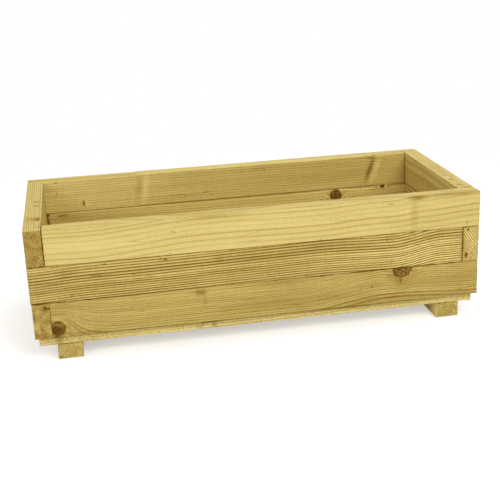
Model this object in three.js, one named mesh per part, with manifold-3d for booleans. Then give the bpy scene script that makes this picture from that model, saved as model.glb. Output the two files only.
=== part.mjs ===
// A timber window box planter. Its walls are courses of boards set on edge. In each course the four
// boards chase each other round the box, each one covering one corner and butting at the next, and
// every other course is laid the opposite way round, so the corners lock like a log cabin's. The box
// stands on a slatted floor and two cross feet. It is put together upside down, so every screw is
// driven from below, and its head lies under the next layer.
// Millimetres, +X along the length, -Y the front, +Z up, origin on the ground under the middle.

import * as THREE from "three";
import { mergeVertices } from "three/addons/utils/BufferGeometryUtils.js";
import Module from "manifold-3d";

const wasm = await Module();
wasm.setup();

// Walls
const LENGTH = 800;
const DEPTH = 350;
const WALL_THICK = 31;
const COURSE_HIGH = 65;
const COURSES = 3;
const WALL_ARRIS = 2; // radius of a planed long edge

// Floor
const FLOOR_THICK = 17;
const FLOOR_SETBACK = 11; // behind the front and back faces
const FLOOR_END_SETBACK = 7;
const FLOOR_BOARDS = 4;
const DRAIN_GAP = 8;
const FLOOR_ARRIS = 0.8; // sawn edges, only just broken

// Feet, cut from roofing batten and laid across the box
const FOOT_WIDE = 44;
const FOOT_HIGH = 28;
const FOOT_FROM_LEFT = 37;
const FOOT_FROM_RIGHT = 31;
const FOOT_ARRIS = 1;

// Countersunk screws. Each one's length is what it passes through and its bite in the last board.
const COURSE_SCREW_BITE = 35;
const FOOT_SCREW_BITE = 35;
const FLOOR_SCREW_BITE = 23;
const THICK_SHANK = { diameter: 5, head: 9.6, socket: 4 };
const THIN_SHANK = { diameter: 4, head: 7.6, socket: 3.2 };
const CORNER_STAGGER = 11; // between the corner screws of one course and the next
const BUTT_SCREW_FROM_JOINT = 75;
const MID_STAGGER = 60; // between the middle screws of one course and the next
const FLOOR_SCREW_FROM_INSIDE = 7; // from the inner face of the end board that it bites in
const FLOOR_SCREW_SPACING = 22;
const HEAD_SUNK = 1; // head below the face it is driven through
const HEAD_RIM = 0.5; // straight edge above the cone of the head
const SOCKET_DEEP = 1.6;
const TIP_LENGTH = 7;
const HOLE_CLEARANCE = 0.3; // between a screw and its hole, all round
const BELOW_TIP = 0.8; // end of the pilot hole beyond the screw's point
const SCREW_SIDES = 10;
const SOCKET_SIDES = 6;

const ARC_STEPS = 1; // ExtrudeGeometry makes two facets of each quarter arc
const EXIT = 2; // how far a cutter runs out of the face that it opens

const floorBase = FOOT_HIGH;
const wallBase = floorBase + FLOOR_THICK;
const halfLength = LENGTH / 2;
const halfDepth = DEPTH / 2;
const floorHalfLength = halfLength - FLOOR_END_SETBACK;
const floorHalfDepth = halfDepth - FLOOR_SETBACK;
const floorBoardWide = (2 * floorHalfDepth - (FLOOR_BOARDS - 1) * DRAIN_GAP) / FLOOR_BOARDS;
const courseBase = (course) => wallBase + course * COURSE_HIGH;

const courseScrew = { ...THICK_SHANK, length: COURSE_HIGH + COURSE_SCREW_BITE };
const footScrew = { ...THICK_SHANK, length: FOOT_HIGH + FLOOR_THICK + FOOT_SCREW_BITE };
const floorScrew = { ...THIN_SHANK, length: FLOOR_THICK + FLOOR_SCREW_BITE };

const planed = new THREE.MeshStandardMaterial({ color: 0xc4ab62, roughness: 0.8, metalness: 0 });
const sawn = new THREE.MeshStandardMaterial({ color: 0xb59a5a, roughness: 0.9, metalness: 0 });
const zinc = new THREE.MeshStandardMaterial({ color: 0xa6a294, roughness: 0.4, metalness: 0.9 });

// --- Solids ---------------------------------------------------------------------------------------

/** A geometry's closed surface as a solid that can be cut. */
function solidOf(geometry) {
  geometry.deleteAttribute("normal");
  geometry.deleteAttribute("uv");
  const merged = mergeVertices(geometry);
  const index = merged.index.array;
  const corners = [];
  for (let i = 0; i < index.length; i += 3) {
    const [a, b, c] = [index[i], index[i + 1], index[i + 2]];
    if (a !== b && b !== c && c !== a) corners.push(a, b, c);
  }
  const vertProperties = new Float32Array(merged.attributes.position.array);
  return new wasm.Manifold(
    new wasm.Mesh({ numProp: 3, vertProperties, triVerts: new Uint32Array(corners) }),
  );
}

/** The geometry of a solid. */
function geometryOf(solid) {
  const mesh = solid.getMesh();
  const geometry = new THREE.BufferGeometry();
  geometry.setAttribute("position", new THREE.BufferAttribute(mesh.vertProperties.slice(), 3));
  geometry.setIndex(new THREE.BufferAttribute(mesh.triVerts.slice(), 1));
  geometry.computeVertexNormals();
  return geometry;
}

/** A rectangle with rounded corners, its middle at the origin. */
function easedRectangle(wide, high, radius) {
  const x = wide / 2 - radius;
  const y = high / 2 - radius;
  const shape = new THREE.Shape();
  shape.moveTo(-x, -y - radius);
  shape.absarc(x, -y, radius, -Math.PI / 2, 0);
  shape.absarc(x, y, radius, 0, Math.PI / 2);
  shape.absarc(-x, y, radius, Math.PI / 2, Math.PI);
  shape.absarc(-x, -y, radius, Math.PI, (3 * Math.PI) / 2);
  return shape;
}

/** A board with eased long edges, its middle at the origin. */
function boardGeometry(along, size, arris) {
  const alongX = along === "x";
  const [run, across] = alongX ? [size.x, size.y] : [size.y, size.x];
  const geometry = new THREE.ExtrudeGeometry(easedRectangle(across, size.z, arris), {
    depth: run,
    bevelEnabled: false,
    curveSegments: ARC_STEPS,
  });
  geometry.translate(0, 0, -run / 2);
  const turn = new THREE.Matrix4();
  if (alongX) {
    turn.makeBasis(axisY, axisZ, axisX);
  } else {
    turn.makeBasis(axisX.clone().negate(), axisZ, axisY);
  }
  return geometry.applyMatrix4(turn);
}

const axisX = new THREE.Vector3(1, 0, 0);
const axisY = new THREE.Vector3(0, 1, 0);
const axisZ = new THREE.Vector3(0, 0, 1);

/** A round solid about +Z from pairs of radius and height that start and end on the axis. */
function turned(pairs, sides) {
  const profile = pairs.map(([radius, height]) => new THREE.Vector2(radius, height));
  return solidOf(new THREE.LatheGeometry(profile, sides).rotateX(Math.PI / 2));
}

/** A screw with its head's face at the origin and its point up, its drive socket cut in. */
function screwSolid({ length, diameter, head, socket }) {
  const shank = diameter / 2;
  const rim = head / 2;
  const coneEnd = HEAD_RIM + rim - shank;
  const body = turned(
    [
      [0, 0],
      [rim, 0],
      [rim, HEAD_RIM],
      [shank, coneEnd],
      [shank, length - TIP_LENGTH],
      [0, length],
    ],
    SCREW_SIDES,
  );
  const drive = turned(
    [
      [0, -EXIT],
      [socket / 2, -EXIT],
      [socket / 2, SOCKET_DEEP],
      [0, SOCKET_DEEP],
    ],
    SOCKET_SIDES,
  );
  return body.subtract(drive);
}

/** The hole for such a screw: clear of it all round, countersunk, and run out below its head. */
function holeSolid({ length, diameter, head }) {
  const bore = diameter / 2 + HOLE_CLEARANCE;
  const mouth = head / 2 + HOLE_CLEARANCE;
  return turned(
    [
      [0, -HEAD_SUNK - EXIT],
      [mouth, -HEAD_SUNK - EXIT],
      [mouth, HEAD_RIM],
      [bore, HEAD_RIM + mouth - bore],
      [bore, length + BELOW_TIP],
      [0, length + BELOW_TIP],
    ],
    SCREW_SIDES,
  );
}

// --- The timber -----------------------------------------------------------------------------------

const walls = new THREE.Group();
const base = new THREE.Group();
const fixings = new THREE.Group();
const wallStock = { group: walls, arris: WALL_ARRIS, material: planed };
const floorStock = { group: base, arris: FLOOR_ARRIS, material: sawn };
const footStock = { group: base, arris: FOOT_ARRIS, material: sawn };
const timbers = [];

/** Notes a board that runs along x or y, from its lowest to its highest corner. */
function timber(name, stock, along, low, high) {
  const size = high.clone().sub(low);
  const middle = low.clone().add(high).divideScalar(2);
  const solid = solidOf(boardGeometry(along, size, stock.arris));
  timbers.push({ name, ...stock, low, high, middle, solid });
}

const point = (x, y, z) => new THREE.Vector3(x, y, z);

/** Whether the end boards of a course run to the front on the left and to the back on the right. */
const leftRunsForward = (course) => (COURSES - 1 - course) % 2 === 0;

/**
 * One course of four boards. At the front left corner either the left board runs through, and then
 * so do the front board at the right, the right board at the back and the back board at the left,
 * or each of them gives way to its neighbour.
 */
function layCourse(course) {
  const z0 = courseBase(course);
  const z1 = z0 + COURSE_HIGH;
  const forward = leftRunsForward(course);
  const [x, y, t] = [halfLength, halfDepth, WALL_THICK];
  const [through, butts] = [0, t];
  const [a, b] = forward ? [butts, through] : [through, butts];
  const lay = (side, along, x0, y0, x1, y1) =>
    timber(`${side}_board_${course + 1}`, wallStock, along, point(x0, y0, z0), point(x1, y1, z1));
  lay("front", "x", -x + a, -y, x - b, -y + t);
  lay("right", "y", x - t, -y + a, x, y - b);
  lay("back", "x", -x + b, y - t, x - a, y);
  lay("left", "y", -x, -y + b, -x + t, y - a);
}

for (let course = 0; course < COURSES; course++) layCourse(course);

/** The lower edge of a floor board, along Y. */
const floorBoardStart = (i) => -floorHalfDepth + i * (floorBoardWide + DRAIN_GAP);

for (let i = 0; i < FLOOR_BOARDS; i++) {
  const y0 = floorBoardStart(i);
  const low = point(-floorHalfLength, y0, floorBase);
  const high = point(floorHalfLength, y0 + floorBoardWide, wallBase);
  timber(`floor_board_${i + 1}`, floorStock, "x", low, high);
}

const footStarts = {
  left: -halfLength + FOOT_FROM_LEFT,
  right: halfLength - FOOT_FROM_RIGHT - FOOT_WIDE,
};

for (const [side, x0] of Object.entries(footStarts)) {
  const low = point(x0, -floorHalfDepth, 0);
  const high = point(x0 + FOOT_WIDE, floorHalfDepth, floorBase);
  timber(`foot_${side}`, footStock, "y", low, high);
}

// --- The screws -----------------------------------------------------------------------------------

const screws = [];

/** Notes a screw driven upwards from the face at z, its head sunk in it. */
function drive(name, kind, x, y, z) {
  screws.push({ name, kind, at: point(x, y, z + HEAD_SUNK) });
}

const corners = [
  { name: "front_left", x: -1, y: -1 },
  { name: "front_right", x: 1, y: -1 },
  { name: "back_right", x: 1, y: 1 },
  { name: "back_left", x: -1, y: 1 },
];

/** Whether an end board, and not the front or back board, runs through a corner of a course. */
const endBoardThrough = (course, corner) => leftRunsForward(course) === (corner.x * corner.y > 0);

/** The screws that tie one course to the course above it. */
function tieCourse(course) {
  const z = courseBase(course);
  const middle = WALL_THICK / 2;
  const apart = course % 2 === 0 ? 1 : -1;
  const inset = middle + (apart * CORNER_STAGGER) / 2;
  const fromCorner = WALL_THICK + BUTT_SCREW_FROM_JOINT;
  for (const corner of corners) {
    const { name, x, y } = corner;
    const place = (dx, dy) => [x * (halfLength - dx), y * (halfDepth - dy), z];
    drive(`corner_screw_${course + 1}_${name}`, courseScrew, ...place(inset, inset));
    const [dx, dy] = endBoardThrough(course, corner) ? [fromCorner, middle] : [middle, fromCorner];
    drive(`butt_screw_${course + 1}_${name}`, courseScrew, ...place(dx, dy));
  }
  const midX = (-apart * MID_STAGGER) / 2;
  drive(`mid_screw_${course + 1}_front`, courseScrew, midX, middle - halfDepth, z);
  drive(`mid_screw_${course + 1}_back`, courseScrew, midX, halfDepth - middle, z);
}

for (let course = 0; course < COURSES - 1; course++) tieCourse(course);

// Each floor board has a pair at either end, into the end board above it. They stand clear of the
// line of the course screws, whatever the width of the boards.
const floorScrewX = halfLength - WALL_THICK + FLOOR_SCREW_FROM_INSIDE;
for (let i = 0; i < FLOOR_BOARDS; i++) {
  const middle = floorBoardStart(i) + floorBoardWide / 2;
  for (const [side, x] of [["left", -floorScrewX], ["right", floorScrewX]]) {
    for (const [end, step] of [["a", -1], ["b", 1]]) {
      const y = middle + (step * FLOOR_SCREW_SPACING) / 2;
      drive(`floor_screw_${i + 1}_${side}_${end}`, floorScrew, x, y, floorBase);
    }
  }
}

// Each foot is held through the floor by a screw into the front board and one into the back board.
const footScrewY = halfDepth - (FLOOR_SETBACK + WALL_THICK) / 2;
for (const [side, x0] of Object.entries(footStarts)) {
  const x = x0 + FOOT_WIDE / 2;
  drive(`foot_screw_${side}_front`, footScrew, x, -footScrewY, 0);
  drive(`foot_screw_${side}_back`, footScrew, x, footScrewY, 0);
}

// --- Putting it together ----------------------------------------------------------------------------

/** Whether a screw's hole reaches into a board that lies above the face it is driven from. */
function isDrilled({ low, high }, { kind, at }) {
  const reach = kind.head / 2 + HOLE_CLEARANCE;
  return (
    at.x + reach > low.x && at.x - reach < high.x &&
    at.y + reach > low.y && at.y - reach < high.y &&
    at.z < high.z && at.z + kind.length > low.z
  );
}

const kinds = [courseScrew, footScrew, floorScrew];
const holes = new Map(kinds.map((kind) => [kind, holeSolid(kind)]));
const shapes = new Map(kinds.map((kind) => [kind, screwSolid(kind)]));

for (const piece of timbers) {
  let solid = piece.solid;
  for (const screw of screws.filter((screw) => isDrilled(piece, screw))) {
    const away = screw.at.clone().sub(piece.middle);
    solid = solid.subtract(holes.get(screw.kind).translate([away.x, away.y, away.z]));
  }
  const mesh = new THREE.Mesh(geometryOf(solid), piece.material);
  mesh.name = piece.name;
  mesh.position.copy(piece.middle);
  piece.group.add(mesh);
}

for (const screw of screws) {
  const mesh = new THREE.Mesh(geometryOf(shapes.get(screw.kind)), zinc);
  mesh.name = screw.name;
  mesh.position.copy(screw.at);
  fixings.add(mesh);
}

const planter = new THREE.Group();
planter.add(walls, base, fixings);

export default planter;
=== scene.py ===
"""A timber window box planter: pinwheel courses of boards, a slatted floor and two cross feet.

Every board is modelled as a piece of one tree. Its growth rings, knots and fibres are a field in
space, so the lines on its faces, the rings on its ends, the relief and the colours all agree.
Boards are worked out in millimetres in their own frame: u along the board, v across its width and
w through its thickness, from the board's middle. The scene is in metres.
"""

import logging  # noqa: E402
import math  # noqa: E402
from collections.abc import Sequence  # noqa: E402
from dataclasses import dataclass, field  # noqa: E402
from enum import Enum  # noqa: E402

import bpy  # noqa: E402
import numpy as np  # noqa: E402
from mathutils import Matrix, Vector  # noqa: E402


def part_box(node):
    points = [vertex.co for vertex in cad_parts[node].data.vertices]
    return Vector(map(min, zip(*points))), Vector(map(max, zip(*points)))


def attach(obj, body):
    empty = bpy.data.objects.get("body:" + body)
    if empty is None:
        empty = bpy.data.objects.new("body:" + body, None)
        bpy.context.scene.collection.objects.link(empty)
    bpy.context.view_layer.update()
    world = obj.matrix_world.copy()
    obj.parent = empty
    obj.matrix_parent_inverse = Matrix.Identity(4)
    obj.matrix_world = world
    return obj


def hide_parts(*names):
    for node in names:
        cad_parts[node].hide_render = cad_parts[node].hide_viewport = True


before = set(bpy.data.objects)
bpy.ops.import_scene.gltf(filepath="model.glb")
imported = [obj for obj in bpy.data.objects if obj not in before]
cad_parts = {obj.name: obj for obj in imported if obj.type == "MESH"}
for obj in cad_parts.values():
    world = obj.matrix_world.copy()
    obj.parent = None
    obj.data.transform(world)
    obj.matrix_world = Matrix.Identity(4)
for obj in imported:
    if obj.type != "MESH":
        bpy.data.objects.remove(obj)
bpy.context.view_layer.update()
MM = 0.001

HASH_STEPS = np.array([73856093, 19349663, 83492791])  # for the noise: one prime a direction
SEED_STEP = 40503
SCRAMBLE = ((15, 2246822519), (13, 3266489917))  # how far each turn shifts, and its prime
LOW_BITS = 0xFFFFFFFF
LUMINANCE = (0.2126, 0.7152, 0.0722)  # the share of each channel in a colour's brightness
TINY = 1e-6

log = logging.getLogger("window_box")

Rows = np.ndarray  # one point or value a row
Colour = tuple[float, float, float]


# --- Small tools ----------------------------------------------------------------------------------


def linear(red: int, green: int, blue: int) -> Colour:
    """Turns a colour as seen on a screen (sRGB) into the light that it reflects.

    Args:
        red: From 0 to 255, and so on.
        green: As red.
        blue: As red.

    Returns:
        The linear colour, from 0 to 1.
    """
    shares = (channel / 255 for channel in (red, green, blue))
    return tuple(s / 12.92 if s <= 0.04045 else ((s + 0.055) / 1.055) ** 2.4 for s in shares)


def noise(points: Rows, seed: int) -> Rows:
    """Gives smooth noise in space, the same for the same seed.

    Args:
        points: Places, three numbers a row, in units of the noise's grain.
        seed: Picks one noise of many.

    Returns:
        A value from -1 to 1 for each place.
    """
    cell = np.floor(points).astype(np.int64)
    part = points - cell
    part = part * part * (3 - 2 * part)
    total = np.zeros(len(points))
    for corner in np.ndindex(2, 2, 2):
        spot = (cell + corner) @ HASH_STEPS + seed * SEED_STEP
        for shift, prime in SCRAMBLE:
            spot = (spot ^ (spot >> shift)) * prime & LOW_BITS
        value = (spot ^ (spot >> 16)) / LOW_BITS
        total += value * np.prod(np.where(corner, part, 1 - part), axis=1)
    return 2 * total - 1


def bell(distance: Rows, width: float) -> Rows:
    """A smooth hump, 1 at no distance and almost 0 two widths away."""
    return np.exp(-((distance / width) ** 2))


def step(value: Rows, low: float, high: float) -> Rows:
    """Rises smoothly from 0 at low to 1 at high."""
    share = np.clip((value - low) / (high - low), 0, 1)
    return share * share * (3 - 2 * share)


def mesh_of(name: str, places: Rows, faces: Sequence[Rows]) -> bpy.types.Mesh:
    """Makes a mesh from places and faces.

    Args:
        name: The mesh's name.
        places: Corners, three numbers a row.
        faces: Arrays of faces, each with as many corners in every face of it.

    Returns:
        The mesh, smooth shaded.
    """
    mesh = bpy.data.meshes.new(name)
    mesh.vertices.add(len(places))
    mesh.vertices.foreach_set("co", places.astype(np.float32).ravel())
    corners = np.concatenate([f.ravel() for f in faces]).astype(np.int32)
    counts = np.concatenate([np.full(len(f), f.shape[1]) for f in faces])
    mesh.loops.add(len(corners))
    mesh.loops.foreach_set("vertex_index", corners)
    mesh.polygons.add(len(counts))
    mesh.polygons.foreach_set("loop_start", (np.cumsum(counts) - counts).astype(np.int32))
    mesh.update(calc_edges=True)
    mesh.shade_smooth()
    return mesh


def link(name: str, mesh: bpy.types.Mesh, at: Vector | None = None) -> bpy.types.Object:
    """Puts a mesh in the scene as an object at a place."""
    obj = bpy.data.objects.new(name, mesh)
    obj.location = at or Vector()
    bpy.context.scene.collection.objects.link(obj)
    return obj


def ring_faces(rings: int, sides: int) -> Rows:
    """Joins rings of corners that follow each other along a tube into four-sided faces."""
    ring, side = np.meshgrid(np.arange(rings - 1), np.arange(sides), indexing="ij")
    here, there = ring * sides, (ring + 1) * sides
    turn = (side + 1) % sides
    return np.stack([here + side, here + turn, there + turn, there + side], -1).reshape(-1, 4)


def turned(name: str, radii: Rows, heights: Rows) -> bpy.types.Mesh:
    """Makes a closed round body about Z from rings of points.

    Args:
        name: The mesh's name.
        radii: The radius at each point, one row a ring.
        heights: The height at each point, likewise.

    Returns:
        The mesh, its first and last ring closed by a fan.
    """
    rings, sides = radii.shape
    angle = np.arange(sides) * (2 * math.pi / sides)
    places = np.stack([radii * np.cos(angle), radii * np.sin(angle), heights], -1).reshape(-1, 3)
    ends = np.array([[0, 0, heights[0].mean()], [0, 0, heights[-1].mean()]])
    first, last = rings * sides, rings * sides + 1
    side = np.arange(sides)
    turn = (side + 1) % sides
    base = (rings - 1) * sides
    fans = [
        np.stack([np.full(sides, first), turn, side], -1),
        np.stack([np.full(sides, last), base + side, base + turn], -1),
    ]
    return mesh_of(name, np.concatenate([places, ends]), [ring_faces(rings, sides), *fans])


# --- Shader graphs --------------------------------------------------------------------------------

Socket = bpy.types.NodeSocket


class Graph:
    """A material's nodes, written as formulas."""

    def __init__(self, name: str) -> None:
        """Starts a material with one Principled shader.

        Args:
            name: The material's name.
        """
        self.material = bpy.data.materials.new(name)
        self.material.use_nodes = True
        self.tree = self.material.node_tree
        self.shader = self.tree.nodes["Principled BSDF"]

    def feed(self, socket: Socket, value: Socket | float | Sequence[float]) -> None:
        """Links a socket to another, or sets its value."""
        if isinstance(value, bpy.types.NodeSocket):
            self.tree.links.new(value, socket)
        else:
            socket.default_value = value

    def attribute(self, name: str, output: str = "Fac") -> Socket:
        """Reads a value that the mesh holds."""
        node = self.tree.nodes.new("ShaderNodeAttribute")
        node.attribute_name = name
        return node.outputs[output]

    def math(self, operation: str, *values: Socket | float) -> Socket:
        """One sum, such as MULTIPLY, of two or three values."""
        node = self.tree.nodes.new("ShaderNodeMath")
        node.operation = operation
        for socket, value in zip(node.inputs, values, strict=False):
            self.feed(socket, value)
        return node.outputs[0]

    def scaled(self, vector: Socket, lengths: Sequence[float], offset: float) -> Socket:
        """Divides a place by the lengths of a pattern, and shifts it."""
        node = self.tree.nodes.new("ShaderNodeMapping")
        self.feed(node.inputs["Vector"], vector)
        node.inputs["Scale"].default_value = tuple(1 / length for length in lengths)
        node.inputs["Location"].default_value = (offset, offset * 0.7, -offset)
        return node.outputs[0]

    def noise(self, vector: Socket, detail: float = 2.0, roughness: float = 0.5) -> Socket:
        """Noise from 0 to 1 at a place that is already scaled."""
        node = self.tree.nodes.new("ShaderNodeTexNoise")
        self.feed(node.inputs["Vector"], vector)
        node.inputs["Scale"].default_value = 1.0
        node.inputs["Detail"].default_value = detail
        node.inputs["Roughness"].default_value = roughness
        return node.outputs["Fac"]

    def near(
        self, vector: Socket, at: Sequence[float], size: Sequence[float], ragged: float
    ) -> Socket:
        """Measures how far a place lies from the middle of an ellipsoid.

        Args:
            vector: The place.
            at: The ellipsoid's middle.
            size: Its half axes.
            ragged: How uneven its outline is.

        Returns:
            0 in its middle and 1 at its skin.
        """
        away = self.vector("SUBTRACT", vector, at)
        away = self.vector("DIVIDE", away, size)
        rough = self.noise(self.scaled(vector, [max(0.35 * s, 0.8) for s in size], at[0]), 2)
        swell = self.math("MULTIPLY_ADD", rough, 2 * ragged, 1 - ragged)
        return self.math("MULTIPLY", self.vector("LENGTH", away, output="Value"), swell)

    def vector(
        self, operation: str, *values: Socket | Sequence[float], output: str = "Vector"
    ) -> Socket:
        """One sum with vectors, such as SUBTRACT."""
        node = self.tree.nodes.new("ShaderNodeVectorMath")
        node.operation = operation
        for socket, value in zip(node.inputs, values, strict=False):
            self.feed(socket, value)
        return node.outputs[output]

    def cells(self, vector: Socket) -> Socket:
        """The distance to the nearest of scattered points, at a place that is already scaled."""
        node = self.tree.nodes.new("ShaderNodeTexVoronoi")
        node.inputs["Scale"].default_value = 1.0
        self.feed(node.inputs["Vector"], vector)
        return node.outputs["Distance"]

    def curve(self, value: Socket, stops: Sequence[tuple[float, float]]) -> Socket:
        """Reads a value off a line through stops of (place, value)."""
        return self.ramp(value, [(place, (grey, grey, grey)) for place, grey in stops])

    def ramp(self, value: Socket, stops: Sequence[tuple[float, Colour]]) -> Socket:
        """Reads a colour off a ramp of (place, colour)."""
        node = self.tree.nodes.new("ShaderNodeValToRGB")
        elements = node.color_ramp.elements
        while len(elements) < len(stops):
            elements.new(1.0)
        for element, (place, colour) in zip(elements, stops, strict=True):
            element.position = place
            element.color = (*colour, 1.0)
        self.feed(node.inputs[0], value)
        return node.outputs[0]

    def mix(self, share: Socket | float, a: Socket | Colour, b: Socket | Colour) -> Socket:
        """Colour a, with a share of colour b."""
        return self.blend("MIX", share, a, b)

    def blend(
        self, kind: str, share: Socket | float, a: Socket | Colour, b: Socket | Colour
    ) -> Socket:
        """Colour a, with b laid over it in a blend such as MULTIPLY."""
        node = self.tree.nodes.new("ShaderNodeMix")
        node.data_type = "RGBA"
        node.blend_type = kind
        self.feed(node.inputs[0], share)
        for socket, colour in ((node.inputs[6], a), (node.inputs[7], b)):
            is_socket = isinstance(colour, bpy.types.NodeSocket)
            self.feed(socket, colour if is_socket else (*colour, 1.0))
        return node.outputs[2]

    def tinted(
        self,
        share: float,
        colour: Socket,
        pattern: Socket,
        tones: Sequence[float],
        swing: Sequence[float],
    ) -> Socket:
        """Multiplies a colour by a pattern of noise.

        Args:
            share: How far it is multiplied.
            colour: The colour.
            pattern: The noise.
            tones: What its troughs and its crests multiply by.
            swing: Its values in its troughs and on its crests.

        Returns:
            The colour with the pattern.
        """
        tone = self.curve(pattern, list(zip(swing, tones, strict=True)))
        return self.blend("MULTIPLY", share, colour, tone)

    def graded(self, share: float, colour: Socket, tones: Sequence[Colour]) -> Socket:
        """Gives a colour the hue that belongs to its brightness.

        Args:
            share: How far it takes that hue.
            colour: The colour.
            tones: The hues, from dark to pale.

        Returns:
            A colour of the same brightness.
        """
        grey = self.tree.nodes.new("ShaderNodeRGBToBW")
        self.feed(grey.inputs[0], colour)
        light = [sum(w * c for w, c in zip(LUMINANCE, tone, strict=True)) for tone in tones]
        stops = [(level**0.5, tone) for level, tone in zip(light, tones, strict=True)]
        hue = self.ramp(self.math("SQRT", grey.outputs[0]), stops)
        return self.mix(share, colour, hue)

    def blend_shaders(self, share: Socket, a: Socket, b: Socket) -> Socket:
        """Shader a, with a share of shader b."""
        node = self.tree.nodes.new("ShaderNodeMixShader")
        for socket, value in zip(node.inputs, (share, a, b), strict=True):
            self.feed(socket, value)
        return node.outputs[0]

    def bump(self, height: Socket, distance: float, strength: float) -> None:
        """Gives the shader a bump from a height between 0 and 1 and its real depth."""
        node = self.tree.nodes.new("ShaderNodeBump")
        node.inputs["Strength"].default_value = strength
        node.inputs["Distance"].default_value = distance
        self.feed(node.inputs["Height"], height)
        self.feed(self.shader.inputs["Normal"], node.outputs[0])


# --- Finishes -------------------------------------------------------------------------------------


@dataclass(frozen=True)
class TimberFinish:
    """Pressure treated softwood: its colours and how strongly they vary."""

    pale: Colour = linear(208, 182, 102)  # the wood of spring
    dark: Colour = linear(156, 125, 54)  # the line that ends each year
    end_pale: Colour = linear(188, 161, 84)
    end_dark: Colour = linear(146, 117, 52)
    line: float = 0.34  # share of a year's ring that is dark
    line_step: float = 0.5  # how much the years differ
    waver: float = 0.3  # how ragged the lines are
    variety: float = 1.0  # how far the tone of the long faces wanders
    mottle: float = 0.5  # how blotchy the ends are
    grime_and_shade: float = 0.55  # dirt and painted seam shade along the edges
    speckle: float = 0.3  # dark pits, more on sawn faces
    spots: float = 0.5  # how dark its few round spots are
    roughness: float = 0.7
    fuzz: float = 0.35  # how furry the fibres stand, 0 planed and 1 sawn
    seed: float = 0.0

    brown: Colour = linear(106, 79, 26)  # dirt, pits and smudges, and painted shade in seams and on some faces
    heart: Colour = linear(88, 63, 20)  # the darkest of a knot
    ring_brown: Colour = linear(152, 121, 46)  # the years of a knot
    honey: Colour = linear(170, 138, 58)  # the resin round a knot
    worn: Colour = linear(228, 206, 130)  # bare edges
    olive: Colour = linear(236, 240, 206)  # a cast of the treatment, laid over in clouds
    shaded: Colour = (0.55, 0.5, 0.38)  # what the darker years of a band are multiplied by
    lit: Colour = (1.3, 1.3, 1.25)  # and the paler ones
    bleached_and_lit: Colour = (1.4, 1.4, 1.35)  # and a pale mark, which is bleached wood for most marks and painted light for some
    faithful: float = 0.85  # how far every colour keeps to the tones below
    specular: float = 0.1
    relief: float = 0.5 * MM  # the bump's depth
    endless: float = 1e6  # a knot's length: it runs right through the board
    tones: tuple[Colour, ...] = (  # the hue that the wood has at each brightness
        linear(66, 46, 15),
        linear(112, 76, 27),
        linear(156, 118, 46),
        linear(175, 150, 76),
        linear(198, 174, 97),
        linear(223, 200, 124),
        linear(240, 219, 142),
    )

    def material(self, name: str, growth: "Growth") -> bpy.types.Material:
        """Builds the finish for one board.

        Args:
            name: The material's name.
            growth: The board's tree, for its knots and marks.

        Returns:
            The material, which reads what Board.note_wood writes on the mesh.
        """
        g = Graph(name)
        place = g.attribute("grain", "Vector")
        # Every pattern is scaled by its length along, across and through the board.
        fibre = g.noise(g.scaled(place, (24, 0.5, 0.5), self.seed), 3, 0.6)
        streak = g.noise(g.scaled(place, (110, 2.2, 2.2), self.seed + 3), 3, 0.6)
        blotch = g.noise(g.scaled(place, (9, 4.5, 4.5), self.seed + 7), 4, 0.6)

        tone = g.attribute("tone")
        late = self.late_wood(g, streak, tone)
        colour = g.mix(late, self.pale, self.dark)
        colour = self.vary(g, place, colour, streak, fibre)
        colour = g.blend("MULTIPLY", g.math("MULTIPLY", tone, 0.5), colour, self.shaded)
        colour = g.blend("MULTIPLY", g.math("MULTIPLY", tone, -0.4), colour, self.lit)
        ends = self.end_grain(g, place, blotch)
        colour = g.mix(g.attribute("end"), colour, ends)
        colour, pits = self.pitted(g, place, colour)
        for knot in growth.knots:
            colour = self.knotty(g, place, colour, knot)
        colour = self.marked(g, place, colour, growth)
        colour = self.edged(g, place, colour, blotch)
        g.feed(g.shader.inputs["Base Color"], g.graded(self.faithful, colour, self.tones))

        rough = g.math("MULTIPLY_ADD", fibre, 0.18, self.roughness - 0.09)
        g.feed(g.shader.inputs["Roughness"], g.math("MULTIPLY_ADD", late, -0.08, rough))
        g.shader.inputs["Specular IOR Level"].default_value = self.specular

        height = g.math("MULTIPLY_ADD", late, 0.45, g.math("MULTIPLY", fibre, 0.6 * self.fuzz))
        height = g.math("MULTIPLY_ADD", streak, 0.4, height)
        height = g.math("MULTIPLY_ADD", blotch, 0.5 * self.fuzz, height)
        g.bump(g.math("MULTIPLY_ADD", pits, -0.6, height), self.relief, 0.7)
        return g.material

    def late_wood(self, g: Graph, streak: Socket, tone: Socket) -> Socket:
        """Gives how dark the year's ring is at each place, from 0 to 1.

        Args:
            g: The material.
            streak: Noise that follows the fibres.
            tone: How dark these years grew.

        Returns:
            The share of the dark colour.
        """
        ring = g.math("MULTIPLY_ADD", streak, self.waver, g.attribute("ring"))
        year = g.tree.nodes.new("ShaderNodeTexWhiteNoise")
        year.noise_dimensions = "1D"
        g.feed(year.inputs["W"], g.math("ADD", g.math("FLOOR", ring), self.seed))
        least = 1 - 0.6 * self.line_step
        strong = g.math("MULTIPLY_ADD", year.outputs["Value"], self.line_step, least)
        peak = 0.97 - 0.6 * self.line
        profile = [  # from the pale wood of spring up to the dark line, and its sharp end
            (0.0, 0.0),
            (peak - 1.1 * self.line, 0.06),
            (peak - 0.45 * self.line, 0.65),
            (peak, 1.0),
            (peak + 0.35 * self.line, 0.8),
            (1.0, 0.0),
        ]
        strong = g.math("ADD", strong, tone)
        return g.math("MULTIPLY", g.curve(g.math("FRACT", ring), profile), strong)

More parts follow.
